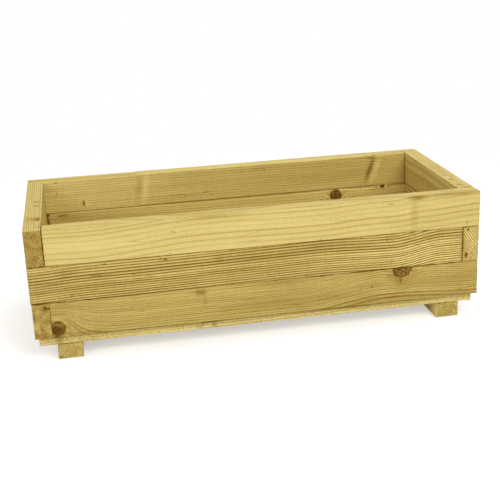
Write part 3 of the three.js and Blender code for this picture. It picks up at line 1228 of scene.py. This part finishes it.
@dataclass
class Walls:
    """The three courses of boards on edge.

    The marks are tables: the place in u, v and w, the half size in each, then the shade and the
    rest, as marks_of says. On a best face w is 15, on a top edge v is 33 or so, and on the front
    end of a left or right board u is -159.
    """

    slot: str = "planed_wall_timber"
    boards: list[Board] = field(default_factory=list)

    def add(self, node: str, growth: Growth, finish: TimberFinish, **more: object) -> None:
        """Notes one board of the walls."""
        is_long = node.startswith(("front", "back"))
        lay = Lay.LONG_ON_EDGE if is_long else Lay.SHORT_ON_EDGE
        self.boards.append(Board(node, lay, growth, finish, self.slot, **more))

    @staticmethod
    def seam(*dashes: tuple[float, float]) -> tuple[Mark, ...]:
        """Makes dark dashes of dirt and painted seam shade on a board's top edge: where each is,
        half its length.
        """
        return marks_of(*((at, 32.2, 15, half, 1.4, 3, 0.95, 0.5, 0.5) for at, half in dashes))

    def choose_front(self) -> None:
        """Picks the three front boards: pale and slow, ridged, and knotty."""
        self.add(
            "front_board_3",
            Growth(
                pith=(-150, -40), spacing=9.0, wave=0.8, unsteady=0.0, seed=3,
                bends=(
                    Bend(-345, 60, -1.5), Bend(-215, 190, 11.5), Bend(-5, 180, -3.5),
                    Bend(135, 90, 3.5), Bend(255, 60, 5), Bend(335, 110, 5),
                ),
                lines=(31.5, 25.5, 18.5, 9, -0.5, -10, -20.5, -30.5, -41.5, -52),
                bands=(
                    Band(24, 10, 0.1), Band(-10, 2.5, 0.3), Band(-20.5, 2.5, 0.15),
                    Band(-3, 5, -0.3),
                ),
                marks=marks_of(
                    (-156.5, 24.5, 15, 1.4, 1.2, 3, 0.65), (-167.5, 9.5, 15, 2.4, 2, 3, 0.5),
                    (-163.5, 7, 15, 4.5, 1, 3, 0.4), (-96, -13.5, 15, 1.1, 1.3, 3, 0.65),
                    (-173.5, -29.5, 15, 2.4, 1, 3, 0.5), (-284.5, -3, 15, 1.2, 1.5, 3, 0.3),
                    (-254.5, -24.5, 15, 1, 1, 3, 0.5), (-249, -22, 15, 1, 1, 3, 0.5),
                    (-218.5, -26.5, 15, 1, 1, 3, 0.5), (-100, 30, 15, 55, 5, 10, 0.35, 0.4, 0.1),
                    (269, 31, 15, 17, 6, 10, 0.6, 0.4, 0.2),
                    (330, 33, 15, 80, 5, 10, 0.5, 0.4, 0.2),
                    (262, -2, 15, 8, 38, 10, 0.22, 0.5, 0.0), (361, -24, 15, 4, 4, 5, 0.25),
                    (-300, -6, 15, 120, 16, 12, -0.12, 0.3, 0.0, 0.6),
                    (195, -23, 15, 50, 13, 12, -0.12, 0.3, 0.0, 0.5),
                    (-70, -22, 15, 120, 12, 12, -0.08, 0.3, 0.0, 0.6),
                    (300, 0, 15, 200, 60, 12, 0.1, 0.3, 0.0),
                    # painted shade: darkens the top face a little, as it gets less light than the
                    # front
                    (0, 34.5, 0, 600, 3.2, 60, 0.13, 0.0, 0.8),
                    # dirt and painted seam shade at the joint with the left board's end
                    (-385, 0, 0, 1.6, 60, 40, 0.75, 0.9, 0.3),
                ),
            ),
            TimberFinish(
                linear(227, 203, 127), linear(203, 178, 100), line=0.2, line_step=0.6, waver=0.16,
                variety=0.45, speckle=0.0, spots=0.15, seed=1.3,
            ),
            relief=0.06,
            shy=(-0.15, 0.0),
        )
        self.add(
            "front_board_2",
            Growth(
                pith=(-190, -30), spacing=4.5, wave=1.2, unsteady=0.0, seed=5,
                bends=(
                    Bend(-335, 110, 3.5), Bend(-70, 360, 3.5), Bend(190, 150, -5.0),
                    Bend(300, 90, 12),
                ),
                lines=(
                    *(30, 25.5, 21.2, 16, 10.5, 5.1, 0.3, -5, -9, -12.9, -17, -21.2, -25.5, -29.5),
                    *(-34, -38.5, -43, -47),
                ),
                bands=(
                    Band(9, 5, 0.22), Band(5.1, 1.8, 0.4), Band(0.3, 1.8, 0.15),
                    Band(-12.9, 1.8, 0.25), Band(-5, 3, -0.1), Band(-28, 14, 0.12),
                    Band(28, 4, -0.35),
                ),
                marks=marks_of(
                    (-255, 28, 15, 5.5, 1.5, 3, 0.75, 0.3, 0.6), (-247, 27.6, 15, 3, 1.7, 3, -0.6),
                    (-159.5, 28, 15, 3.4, 1.6, 3, 1.0, 0.5, 0.5),
                    (-151.5, 26.6, 15, 3.2, 2.0, 3, 1.0, 0.5, 0.5),
                    (-58.5, 17.5, 15, 9, 9, 6, 0.3, 0.5, 0.0),
                    (-103.5, -21, 15, 7, 12, 6, 0.22, 0.5, 0.0),
                    (242.5, 22.5, 15, 2, 3.4, 3, 0.5, 0.5),
                    (251.5, -19, 15, 7, 4, 5, 0.3, 0.5, 0.0),
                    (-332, 0.8, 15, 28, 1.2, 3, 0.6, 0.6), (-262, 8.6, 15, 24, 1.2, 3, 0.55, 0.6),
                    (45, 11.5, 15, 60, 1.3, 3, 0.4, 0.6),
                    (60, 16, 15, 130, 18, 12, 0.14, 0.3, 0.0),
                    (310, -10, 15, 125, 34, 20, -0.95, 0.3, 0.2),
                    (165, -9, 15, 50, 9, 8, -0.3, 0.3, 0.0),
                    (-120, -4, 15, 90, 5, 8, -0.2, 0.3, 0.0),
                    # dirt and painted seam shade at the joint with the right board's end
                    (384.5, 0, 15, 3, 42, 6, 0.5, 0.8, 0.2),
                ),
            ),
            TimberFinish(
                linear(218, 194, 111), linear(125, 93, 30), line=0.38, line_step=0.3, waver=0.35,
                grime_and_shade=0.9, seed=2.1,
            ),
            relief=0.3,
        )
        self.add(
            "front_board_1",
            Growth(
                pith=(-170, -60), spacing=3.6, wave=1.2, unsteady=0.05, seed=8,
                bends=(Bend(140, 170, 21), Bend(305, 150, -11.7)),
                lines=(
                    *(31, 27.6, 24.2, 20.8, 17.4, 14, 10.6, 7.2, 3.8, 0.4, -3, -6.4, -9.8, -13.4),
                    *(-17, -20.6, -25, -30.6, -32.2, -35.5, -38, -39.6, -43, -46.5),
                ),
                bands=(
                    Band(-13.4, 1.5, 0.35), Band(-20.6, 1.5, 0.35), Band(-28, 2.2, -0.35),
                    Band(-31.5, 1.5, 1.2), Band(-35, 1.5, -0.4), Band(-38.8, 1.5, 1.2),
                    Band(-68, 13, 0.55), Band(15, 14, -0.15),
                ),
                knots=(
                    Knot(
                        *(-373.5, -14.8, 13.2), stretch=1.0, core=0.66, core_at=(-0.3, -0.3),
                        mottle=0.9, swell=0.0, lift=58, spread=52, parting=0.4,
                    ),
                    Knot(
                        *(240.5, 30.0, 16.5), core=0.62, core_at=(0.1, 0.1), mottle=0.0, swell=1.0,
                        parting=0.6,
                    ),
                ),
                marks=(
                    *self.seam((-366.5, 6), (-317.5, 5), (92, 7), (165, 20), (205, 7), (245, 18)),
                    *self.seam((300, 6), (331, 12)),
                    *marks_of(
                        # dirt and painted seam shade along the top edge, where the board above
                        # meets it
                        (-300, 32.3, 15, 120, 1.3, 3, 0.6, 0.7, 0.3),
                        (245, 32.3, 15, 145, 1.3, 3, 0.7, 0.7, 0.3),
                        (-125, 24.5, 15, 12.5, 6.5, 10, 0.6, 0.9, 0.35),
                        (-118, 8, 15, 5, 13, 8, 0.25, 0.5, 0.0),
                        (215, -15.3, 15, 38, 1.1, 3, 0.5, 0.6, 0.2),
                        (222, -22.3, 15, 34, 1.3, 3, 0.7, 0.6, 0.2),
                        (184.5, 2.5, 15, 1.8, 3.2, 3, 0.6), (268, -16.5, 15, 1.7, 1.3, 3, 0.7),
                        (20, 24, 15, 60, 10, 10, 0.16, 0.5, 0.0),
                        (0, -8, 15, 70, 18, 12, 0.13, 0.5, 0.0),
                        (350, 2, 15, 110, 22, 12, 0.1, 0.3, 0.0),
                        (-210, 6, 15, 170, 40, 12, -0.25, 0.3, 0.0),
                        (-365.5, -18, 15, 2.6, 6.5, 4, 0.9, 0.8, 0.6),
                        (-370.5, -6, 15, 2.2, 1.8, 4, 0.9, 0.5, 0.6),
                        # dirt and painted seam shade at the joint with the left board's end
                        (-385, 0, 0, 1.6, 60, 40, 0.7, 0.8, 0.3),
                        (228, 22.5, 15, 3, 8, 4, 0.9, 0.5, 0.5),
                        (256.5, 19, 15, 2, 5, 4, -0.9, 0.4, 0.5, 0.6),
                        (237.5, 8.5, 15, 1.7, 6.5, 4, 0.7, 0.3, 0.5),
                        (236, 9, 15, 15, 8, 9, 0.45, 0.5, 0.0),
                        (258, 22, 15, 13, 13, 9, 0.3, 0.5, 0.2),
                        (216, 17, 15, 13, 8, 9, 0.25, 0.5, 0.0),
                        (-374, 2.3, 15, 13, 3.6, 6, -0.5, 0.3, 0.4, 0.6),
                        (-360, -29.5, 15, 4, 2.5, 5, -0.5, 0.3, 0.3, 0.6),
                        (-375, -27, 15, 8.5, 6, 6, 0.8, 0.6, 0.4),
                        (-377, -31, 15, 4.5, 3, 5, 1.0, 0.5, 0.6),
                    ),
                ),
            ),
            TimberFinish(
                linear(204, 179, 99), linear(162, 131, 58), line=0.32, line_step=0.7, variety=0.85,
                grime_and_shade=0.8, seed=3.7,
            ),
            shy=(-0.1, 0.0),
        )

    def choose_back(self) -> None:
        """Picks the three back boards: rippled, knotty and plain."""
        self.add(
            "back_board_3",
            Growth(
                pith=(-160, 20), spacing=5.0, wave=1.5, unsteady=0.3, seed=11,
                bends=(Bend(-170, 10, 1.5), Bend(312, 10, 3.0)),
                marks=marks_of(
                    (-169, 4, 15, 8, 34, 12, 0.3, 0.2, 0.0, 0, 0.15, 2.0),
                    (-157, 4, 15, 9, 34, 12, -0.5, 0.2, 0.2, 0, 0.15, 2.0),
                    (307, 4, 15, 6, 30, 12, 0.85, 0.2, 0.3, 0, 0.35, 3.0),
                    (319, 4, 15, 9, 32, 12, -0.8, 0.2, 0.3, 0, 0.35, 3.0),
                    (-279.5, -17, 15, 2.4, 6, 5, 0.85, 0.3, 0.6), (-273, -17, 15, 4, 7, 5, -0.4),
                    (-330, 29, 15, 3, 2, 3, 0.8), (-330, 6, 15, 2, 4, 3, 0.4),
                    (-320, 0, 15, 190, 70, 9, -0.65, 0.3, 0.1),
                    (250, 10, 15, 300, 60, 9, 0.12, 0.3, 0.0),
                    (0, 33, 0, 420, 5, 40, -0.3, 0.1, 0.6),
                ),
            ),
            TimberFinish(
                linear(216, 192, 108), linear(192, 165, 86), line=0.3, line_step=0.5, waver=0.2,
                variety=0.7, seed=4.3,
            ),
        )
        self.add(
            "back_board_2",
            Growth(
                pith=(-120, 30), spacing=4.4, wave=5.0, seed=12,
                knots=(
                    Knot(204.5, 19, 12.5, stretch=1.0, core=0.75, mottle=0.5, swell=3, parting=0.7),
                    Knot(304.5, 30.5, 4.5, core=0.9), Knot(-300, -2, 5.0, core=0.1, swell=6),
                ),
                marks=marks_of(
                    (-383, 30, 15, 5, 4, 5, 0.9), (-383, 14, 15, 4, 13, 5, 0.8),
                    (-352, 27, 15, 12, 4, 5, 0.6, 0.6, 0.0),
                ),
            ),
            TimberFinish(
                linear(224, 199, 112), linear(186, 157, 76), line=0.3, variety=0.8, seed=5.9
            ),
        )
        self.add(
            "back_board_1",
            Growth((-40, 60), 5.4, wave=5.0, seed=13, knots=(Knot(-90, 12, 9.0, lean=20),)),
            TimberFinish(seed=6.4),
        )

    def choose_left(self) -> None:
        """Picks the three left boards."""
        self.add(
            "left_board_3",
            Growth(
                pith=(60, -75), spacing=3.7, wave=1.5, unsteady=0.4, seed=21,
                marks=marks_of(
                    (-88, 33, 1, 14, 6, 15, 0.45, 0.8, 0.2),
                    (-92, 33, 9, 11, 6, 6, 0.75, 0.8, 0.4), (-137, 33, 11, 3, 4, 7, 0.7, 0.6, 0.3),
                    (-130, 33, 15.2, 34, 5, 2.0, 0.65, 0.6, 0.3),
                    # the next two rows: dirt and painted seam shade along the end's bottom edge
                    (-159, -31.8, -7.5, 6, 1.4, 5.5, 0.95, 0.4, 0.5),
                    (-159, -31.8, 8, 6, 1.4, 6, 0.95, 0.4, 0.5),
                    (-159, -27.5, 10, 6, 4, 4, 0.5, 0.8, 0.2),
                    # dirt and painted seam shade along the end's inner edge, where the front board
                    # meets it
                    (-159, 0, 15.3, 6, 36, 1.5, 0.75, 0.6, 0.3),
                    (22, 33, 4.3, 3.2, 3, 6.5, 0.9, 0.5, 0.6),
                    (-5.7, 33, 5, 3.2, 3, 6, 0.9, 0.5, 0.6), (20.5, 33, 11.8, 10, 3, 1, 0.7, 0.6),
                    (154, 33, -2.5, 4, 3, 2.5, 0.8, 0.6),
                ),
            ),
            TimberFinish(
                linear(222, 197, 116), linear(188, 160, 82), linear(190, 163, 86),
                linear(154, 126, 58), mottle=0.6, variety=0.7, seed=8.2,
            ),
        )
        self.add(
            "left_board_2",
            Growth((-50, 25), 4.6, wave=4.0, seed=22, knots=(Knot(70, -8, 8.0, lean=-15),)),
            TimberFinish(seed=9.1),
        )
        self.add(
            "left_board_1",
            Growth(
                pith=(-90, -60), spacing=5.5, wave=6.0, seed=23,
                marks=marks_of(
                    (-159, 25.5, 7, 6, 2.4, 2.4, 1.0, 0.3, 0.9),
                    (-159, 22.2, 9, 6, 1.8, 2.2, 1.0, 0.3, 0.9),
                    (-159, 22.5, 13, 6, 1.6, 1.6, 1.0, 0.3, 0.9),
                    (-159, 22, 7, 6, 7, 6, 0.3, 0.6, 0.0),
                    (-159, 7, -12.5, 6, 9, 6, 0.45, 0.7, 0.2),
                    (-159, -24, -13, 6, 7, 5, 0.4, 0.7, 0.2),
                    (-159, 1, 6, 6, 6, 5, 0.35, 0.7, 0.2), (-159, -14, -1, 6, 4, 3, 0.4, 0.7, 0.2),
                    (-159, -28, 2, 6, 6, 12, 0.35, 0.7, 0.2),
                    # dirt and painted seam shade along the end's top edge and its inner edge
                    (-159, 32, 0, 6, 1.5, 17, 0.9, 0.6, 0.4),
                    (-159, 0, 15.3, 6, 36, 1.6, 0.7, 0.6, 0.3),
                    (-159, 20, -5, 6, 9, 7, -0.3, 0.6, 0.2),
                    (-159, -14, -9, 6, 12, 5, -0.3, 0.6, 0.2),
                ),
            ),
            TimberFinish(
                linear(208, 182, 104), linear(158, 127, 56), linear(190, 164, 87),
                linear(180, 153, 77), mottle=0.9, seed=10.6,
            ),
            sink=(0.0, 1.0),
        )

    def choose_right(self) -> None:
        """Picks the three right boards."""
        self.add(
            "right_board_3",
            Growth(
                pith=(-15, 90), spacing=4.0, wave=3.0, seed=31,
                marks=marks_of(
                    (-83, 33, -6, 10, 5, 5, -0.9, 0.5, 0.5), (-97, 33, -5, 4, 5, 5, 0.6, 0.6, 0.3),
                    (-139, 33, -4, 5, 4, 9, 0.55, 0.6, 0.2),
                    (-154, 33, 6, 2.2, 4, 11, 0.75, 0.6, 0.3),
                    (-148, 33, -8, 3, 4, 4, -0.6, 0.5, 0.4),
                    (-70, 33, -6, 50, 6, 6, 0.2, 0.6, 0.0),
                    # painted shade: darkens the inner face, which faces away from the light
                    (0, -8, -17, 300, 50, 6, 0.12, 0.6, 0.5),
                ),
            ),
            TimberFinish(
                linear(228, 200, 116), linear(204, 173, 88), line=0.4, speckle=0.8, variety=0.7,
                seed=12.4,
            ),
        )
        self.add(
            "right_board_2",
            Growth(
                pith=(105, 130), spacing=3.9, wave=1.0, unsteady=0.3, seed=32,
                marks=marks_of(
                    (-159, 27, -6, 6, 2.2, 3.0, 0.95, 0.5, 0.5),
                    (-159, -20.5, -8, 6, 5.5, 3.6, 1.0, 0.7, 0.5),
                    (-159, -26.5, -0.5, 6, 1.8, 2.2, 0.6, 0.5, 0.4),
                    # dirt and painted seam shade along the end's inner edge and its top edge
                    (-159, 0, -15.3, 6, 38, 2.8, 0.7, 0.9, 0.3),
                    (-159, 32, -9, 6, 1.4, 8, 0.75, 0.6, 0.4),
                    (-159, -10, -11, 6, 30, 5, 0.2, 0.6, 0.2),
                    (-159, 5, 2, 6, 30, 8, -0.15, 0.4, 0.2),
                ),
            ),
            TimberFinish(
                linear(212, 186, 106), linear(162, 130, 60), linear(234, 210, 132),
                linear(164, 135, 66), line=0.45, line_step=0.3, mottle=0.3, seed=13.5,
            ),
        )
        self.add(
            "right_board_1",
            Growth((-60, 15), 4.6, wave=4.0, seed=33, knots=(Knot(60, 10, 9.0, lean=10),)),
            TimberFinish(seed=14.8),
        )

    def build(self, holes: Sequence[Hole]) -> None:
        """Makes every board of the walls."""
        self.choose_front()
        self.choose_back()
        self.choose_left()
        self.choose_right()
        for board in self.boards:
            board.build(holes)


@dataclass
class Base:
    """The slatted floor and the two feet, of rough sawn timber."""

    floor_slot: str = "sawn_floor_timber"
    foot_slot: str = "sawn_foot_timber"
    floor_knots: tuple[tuple[float, float, float], ...] = (  # along, across and radius
        (215.0, 9.0, 8.5),
        (-140.0, -14.0, 6.0),
        (64.0, 17.0, 7.5),
        (-268.0, -6.0, 5.5),
    )
    front_stains_and_shade: tuple[Mark, ...] = marks_of(  # on the strip that shows under the front: stains, and painted shade along its top
        # painted shade: the first two rows darken the top of the strip, which lies in shade under
        # the walls
        (-150, -39, 7, 240, 9, 3.2, 0.35, 0.9, 0.3),
        (200, -39, 7, 200, 9, 6.4, 0.7, 0.9, 0.3),
        (-358, -38, 0, 9, 7, 10, 0.5, 0.6, 0.3),
        (-94, -38, 4.8, 21, 7, 3.2, 0.75, 0.6, 0.3),
        (-109, -38, -3, 4, 4, 8, 0.3, 0.3, 0.2),
        (-96, -39, -2, 1.6, 4, 9, -0.9, 0.2, 0.6),
        (-87, -38, -3, 5, 4, 8, 0.35, 0.3, 0.2),
    )

    def lay_floor(self, holes: Sequence[Hole]) -> None:
        """Makes the floor boards, each from another part of its tree."""
        for i, knot in enumerate(self.floor_knots, 1):
            growth = Growth(
                pith=(14 * i - 40, -60), spacing=4.2, climb=(0.01, 0.02), wave=5, seed=40 + i,
                knots=(Knot(*knot),), marks=self.front_stains_and_shade if i == 1 else (),
            )
            finish = TimberFinish(
                linear(250, 227, 146), linear(212, 184, 104), mottle=1.0, grime_and_shade=0.9, speckle=1.0,
                roughness=0.85, fuzz=1.0, seed=16.0 + i,
            )
            node, slot = f"floor_board_{i}", self.floor_slot
            Board(node, Lay.LONG_FLAT, growth, finish, slot, Cut.SAWN, arris=0.9).build(holes)

    def set_feet(self, holes: Sequence[Hole]) -> None:
        """Makes the two cross feet, the right one with painted light on its shaded side."""
        stain = marks_of((-164, 17, -10, 6, 4, 2, 0.6, 0.6, 0.4))
        # painted light: brightens the right foot's side that faces left, which lies in shade under
        # the box
        painted_light_side = marks_of(
            (-130, 22, 0, 90, 4, 40, -1.0, 0.2, 0.3), (-150, 22, 0, 50, 4, 40, -0.6, 0.2, 0.1)
        )
        for side, seed, spacing, end_pale, end_dark, marks in (
            ("left", 51, 3.8, linear(224, 200, 122), linear(184, 158, 84), stain),
            ("right", 52, 4.2, linear(218, 194, 116), linear(172, 146, 76), painted_light_side),
        ):
            growth = Growth(
                pith=(80, -100), spacing=spacing, climb=(0.0, 0.01), wave=2, unsteady=0.4,
                seed=seed, marks=marks,
            )
            finish = TimberFinish(
                linear(216, 190, 110), linear(166, 136, 64), end_pale, end_dark,
                roughness=0.85, fuzz=1.0, speckle=0.8, seed=seed / 7,
            )
            node, slot = f"foot_{side}", self.foot_slot
            Board(node, Lay.SHORT_FLAT, growth, finish, slot, Cut.SAWN, arris=1.1).build(holes)

    def build(self, holes: Sequence[Hole]) -> None:
        """Makes the floor boards and the feet."""
        self.lay_floor(holes)
        self.set_feet(holes)


@dataclass
class Fixings:
    """The countersunk screws."""

    slot: str = "zinc_steel"
    sides: int = 24
    threaded: float = 0.6  # share of the length
    lobes: int = 6
    lobe_deep: float = 0.16  # share of the socket's radius
    socket_deep: float = 2.0
    rim: float = 0.45  # the head's straight edge
    waist: float = 0.84  # share of the shank's radius that the plain part has
    root: float = 0.68  # and the bottom of the thread
    steps_a_turn: int = 5
    crease: float = 38.0  # degrees from which an edge shows sharp

    def screw(self, gauge: Gauge, length: float) -> bpy.types.Mesh:
        """Makes a screw with a six-lobed socket and a thread, its head's face at the origin.

        Args:
            gauge: How stout it is.
            length: From its head's face to its point, in millimetres.

        Returns:
            The mesh, point up.
        """
        shank, head, socket = (size / 2 for size in gauge.value[:3])
        pitch = gauge.value[3]
        angle = np.arange(self.sides) * (2 * math.pi / self.sides)
        lobes = socket * (1 + self.lobe_deep * np.cos(self.lobes * angle))
        ring = np.ones(self.sides)
        core, waist = shank * self.root, shank * self.waist * ring
        rows = [  # each ring's radius and height: the socket, the head, the cone and the shank
            (lobes * 0.25, self.socket_deep * 1.05 * ring),
            (lobes * 0.8, self.socket_deep * ring),
            (lobes * 0.9, self.socket_deep * 0.9 * ring),
            (lobes, 0.12 * ring),
            (lobes * 1.05, 0 * ring),
            (head * 0.75 * ring, 0 * ring),
            ((head - 0.15) * ring, 0 * ring),
            (head * ring, 0.12 * ring),
            (head * ring, self.rim * ring),
            (shank * 1.12 * ring, (self.rim + head - shank) * ring),
            (waist, (1.4 + head - shank) * ring),
        ]
        start = length * (1 - self.threaded)
        rows.append((waist, (start - 1.0) * ring))
        turns = (length - start) / pitch
        for i in range(int(turns * self.steps_a_turn) + 1):
            height = start + i * pitch / self.steps_a_turn
            left = (length - height) / (3.2 * shank)  # the share of the point still to come
            taper = min(1.0, max(left, 0.02)) ** 0.8
            phase = (height / pitch - angle / (2 * math.pi)) % 1.0
            crest = np.clip(1 - np.abs(phase - 0.5) * 5, 0, 1) * min(1.0, i / 6)
            rows.append(((core + (shank - core) * crest) * taper, height * ring))
        radii, heights = (np.array(column) * MM for column in zip(*rows))
        mesh = turned("screw", radii, heights)
        mesh.set_sharp_from_angle(angle=math.radians(self.crease))
        return mesh

    def build(self) -> list[Hole]:
        """Makes a screw for each of the CAD screws.

        Returns:
            The holes that they need.
        """
        finish = PlatedSteel().material("zinc_steel")
        made: dict[tuple[Gauge, int], bpy.types.Mesh] = {}
        holes = []
        for node in sorted(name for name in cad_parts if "_screw_" in name):
            hole = Hole.of_screw(node)
            kind = (hole.gauge, round(hole.length / MM))
            if kind not in made:
                made[kind] = self.screw(*kind)
                made[kind].materials.append(finish)
            obj = link(f"{node}_threaded", made[kind], hole.at)
            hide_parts(node)
            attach(obj, "root")
            holes.append(hole)
        log.info("%d screws", len(holes))
        return holes


# --- Studio ---------------------------------------------------------------------------------------


@dataclass
class Studio:
    """A pale floor, soft light, and the camera at the photograph's viewing angle."""

    camera_at: tuple[float, float, float] = (-0.2925, -1.7624, 0.7234)
    yaw: float = 0.1700  # radians, from +Y towards +X
    pitch: float = 0.3304  # radians, down
    roll: float = -0.0402
    focal_pixels: float = 984.2
    picture_side: float = 500.0
    sensor: float = 36.0  # millimetres
    sight: float = 50.0  # how far the camera sees
    floor_size: float = 12.0
    floor_tone: Colour = (0.8, 0.8, 0.8)
    floor_lift: float = 0.46  # light that the floor gives the camera, so that it shows white
    contact: float = 0.002  # how near the floor is to what rests on it
    contact_lift: float = 0.35  # light there, so that the feet's undersides show from below
    shadow_reach: tuple[float, float, float] = (1.3, 1.3, 1.0)
    ambient: float = 0.4
    aim: tuple[float, float, float] = (0.0, 0.0, 0.12)  # where the lamps point
    lamps: tuple[tuple[str, tuple[float, float, float], float, float], ...] = (
        ("key", (1.2, -2.5, 2.2), 1.6, 50),
        ("fill", (-2.4, -1.9, 1.7), 2.0, 27),
        ("top", (0.0, 0.3, 2.8), 2.0, 17),
        ("back", (0.9, 2.6, 1.5), 2.0, 14),
    )

    def floor(self) -> None:
        """Lays a pale floor that keeps the planter's shadow and is white beyond it."""
        half = self.floor_size / 2
        corners = np.array([(-half, -half, 0), (half, -half, 0), (half, half, 0), (-half, half, 0)])
        floor = link("studio_floor", mesh_of("studio_floor", corners, [np.array([[0, 1, 2, 3]])]))
        g = Graph("studio_floor")
        g.tree.nodes.remove(g.shader)
        pale = g.tree.nodes.new("ShaderNodeBsdfDiffuse")
        pale.inputs["Color"].default_value = (*self.floor_tone, 1)
        lift = g.tree.nodes.new("ShaderNodeEmission")
        lift.inputs["Strength"].default_value = self.floor_lift
        white = g.tree.nodes.new("ShaderNodeEmission")
        both = g.tree.nodes.new("ShaderNodeAddShader")
        g.feed(both.inputs[0], pale.outputs[0])
        g.feed(both.inputs[1], lift.outputs[0])
        place = g.tree.nodes.new("ShaderNodeTexCoord").outputs["Object"]
        away = g.vector("LENGTH", g.vector("DIVIDE", place, self.shadow_reach), output="Value")
        fade = g.curve(away, [(0.55, 0.0), (1.0, 1.0)])
        near = g.blend_shaders(fade, both.outputs[0], white.outputs[0])
        rays = g.tree.nodes.new("ShaderNodeLightPath")
        seen = g.math("MAXIMUM", rays.outputs["Is Camera Ray"], rays.outputs["Is Glossy Ray"])
        glow = g.tree.nodes.new("ShaderNodeEmission")
        glow.inputs["Strength"].default_value = self.contact_lift
        resting = g.math("LESS_THAN", rays.outputs["Ray Length"], self.contact)
        unseen = g.blend_shaders(resting, pale.outputs[0], glow.outputs[0])
        top = g.blend_shaders(seen, unseen, near)
        below = g.tree.nodes.new("ShaderNodeNewGeometry").outputs["Backfacing"]
        clear = g.tree.nodes.new("ShaderNodeBsdfTransparent")
        out = g.tree.nodes["Material Output"].inputs["Surface"]
        g.feed(out, g.blend_shaders(below, top, clear.outputs[0]))
        floor.data.materials.append(g.material)

    def world(self) -> None:
        """Lights the whole room evenly, and shows white to the camera."""
        world = bpy.data.worlds.new("studio")
        bpy.context.scene.world = world
        world.use_nodes = True
        nodes, links = world.node_tree.nodes, world.node_tree.links
        background = nodes["Background"]
        background.inputs["Color"].default_value = (1, 1, 1, 1)
        path = nodes.new("ShaderNodeLightPath")
        seen = nodes.new("ShaderNodeMath")
        seen.operation = "MAXIMUM"
        links.new(path.outputs["Is Camera Ray"], seen.inputs[0])
        links.new(path.outputs["Is Glossy Ray"], seen.inputs[1])
        either = nodes.new("ShaderNodeMath")
        either.operation = "MAXIMUM"
        links.new(seen.outputs[0], either.inputs[0])
        links.new(path.outputs["Is Transmission Ray"], either.inputs[1])
        level = nodes.new("ShaderNodeMapRange")
        level.inputs["To Min"].default_value = self.ambient
        level.inputs["To Max"].default_value = 1.0
        links.new(either.outputs[0], level.inputs["Value"])
        links.new(level.outputs[0], background.inputs["Strength"])

    def lamp(self, name: str, at: Sequence[float], size: float, power: float) -> None:
        """Hangs a square soft light that faces the planter.

        Args:
            name: Its name.
            at: Its place.
            size: Its side, in metres.
            power: In watts.
        """
        light = bpy.data.lights.new(name, "AREA")
        light.shape, light.size, light.energy = "SQUARE", size, power
        obj = bpy.data.objects.new(name, light)
        obj.location = at
        toward = Vector(self.aim) - Vector(at)
        obj.rotation_euler = toward.to_track_quat("-Z", "Y").to_euler()
        bpy.context.scene.collection.objects.link(obj)

    def camera(self) -> None:
        """Sets up the camera as the photograph was taken."""
        yaw, pitch, roll = self.yaw, self.pitch, self.roll
        level = math.cos(pitch)
        ahead = Vector((math.sin(yaw) * level, math.cos(yaw) * level, -math.sin(pitch)))
        right = Vector((math.cos(yaw), -math.sin(yaw), 0))
        up = right.cross(ahead)
        x = right * math.cos(roll) + up * math.sin(roll)
        y = up * math.cos(roll) - right * math.sin(roll)
        data = bpy.data.cameras.new("camera")
        data.sensor_fit, data.sensor_width = "HORIZONTAL", self.sensor
        data.lens = self.focal_pixels / self.picture_side * data.sensor_width
        data.clip_end = self.sight
        obj = bpy.data.objects.new("camera", data)
        turn = Matrix((x, y, -ahead)).transposed().to_4x4()
        obj.matrix_world = Matrix.Translation(self.camera_at) @ turn
        bpy.context.scene.collection.objects.link(obj)
        bpy.context.scene.camera = obj

    def build(self) -> None:
        """Makes the whole studio."""
        self.camera()
        self.floor()
        self.world()
        for lamp in self.lamps:
            self.lamp(*lamp)
        bpy.context.scene.view_settings.view_transform = "Standard"


def main() -> None:
    """Builds the planter and its studio."""
    logging.basicConfig(level=logging.INFO, format="%(name)s: %(message)s")
    Studio().build()
    holes = Fixings().build()
    Walls().build(holes)
    Base().build(holes)


if __name__ == "__main__":
    main()
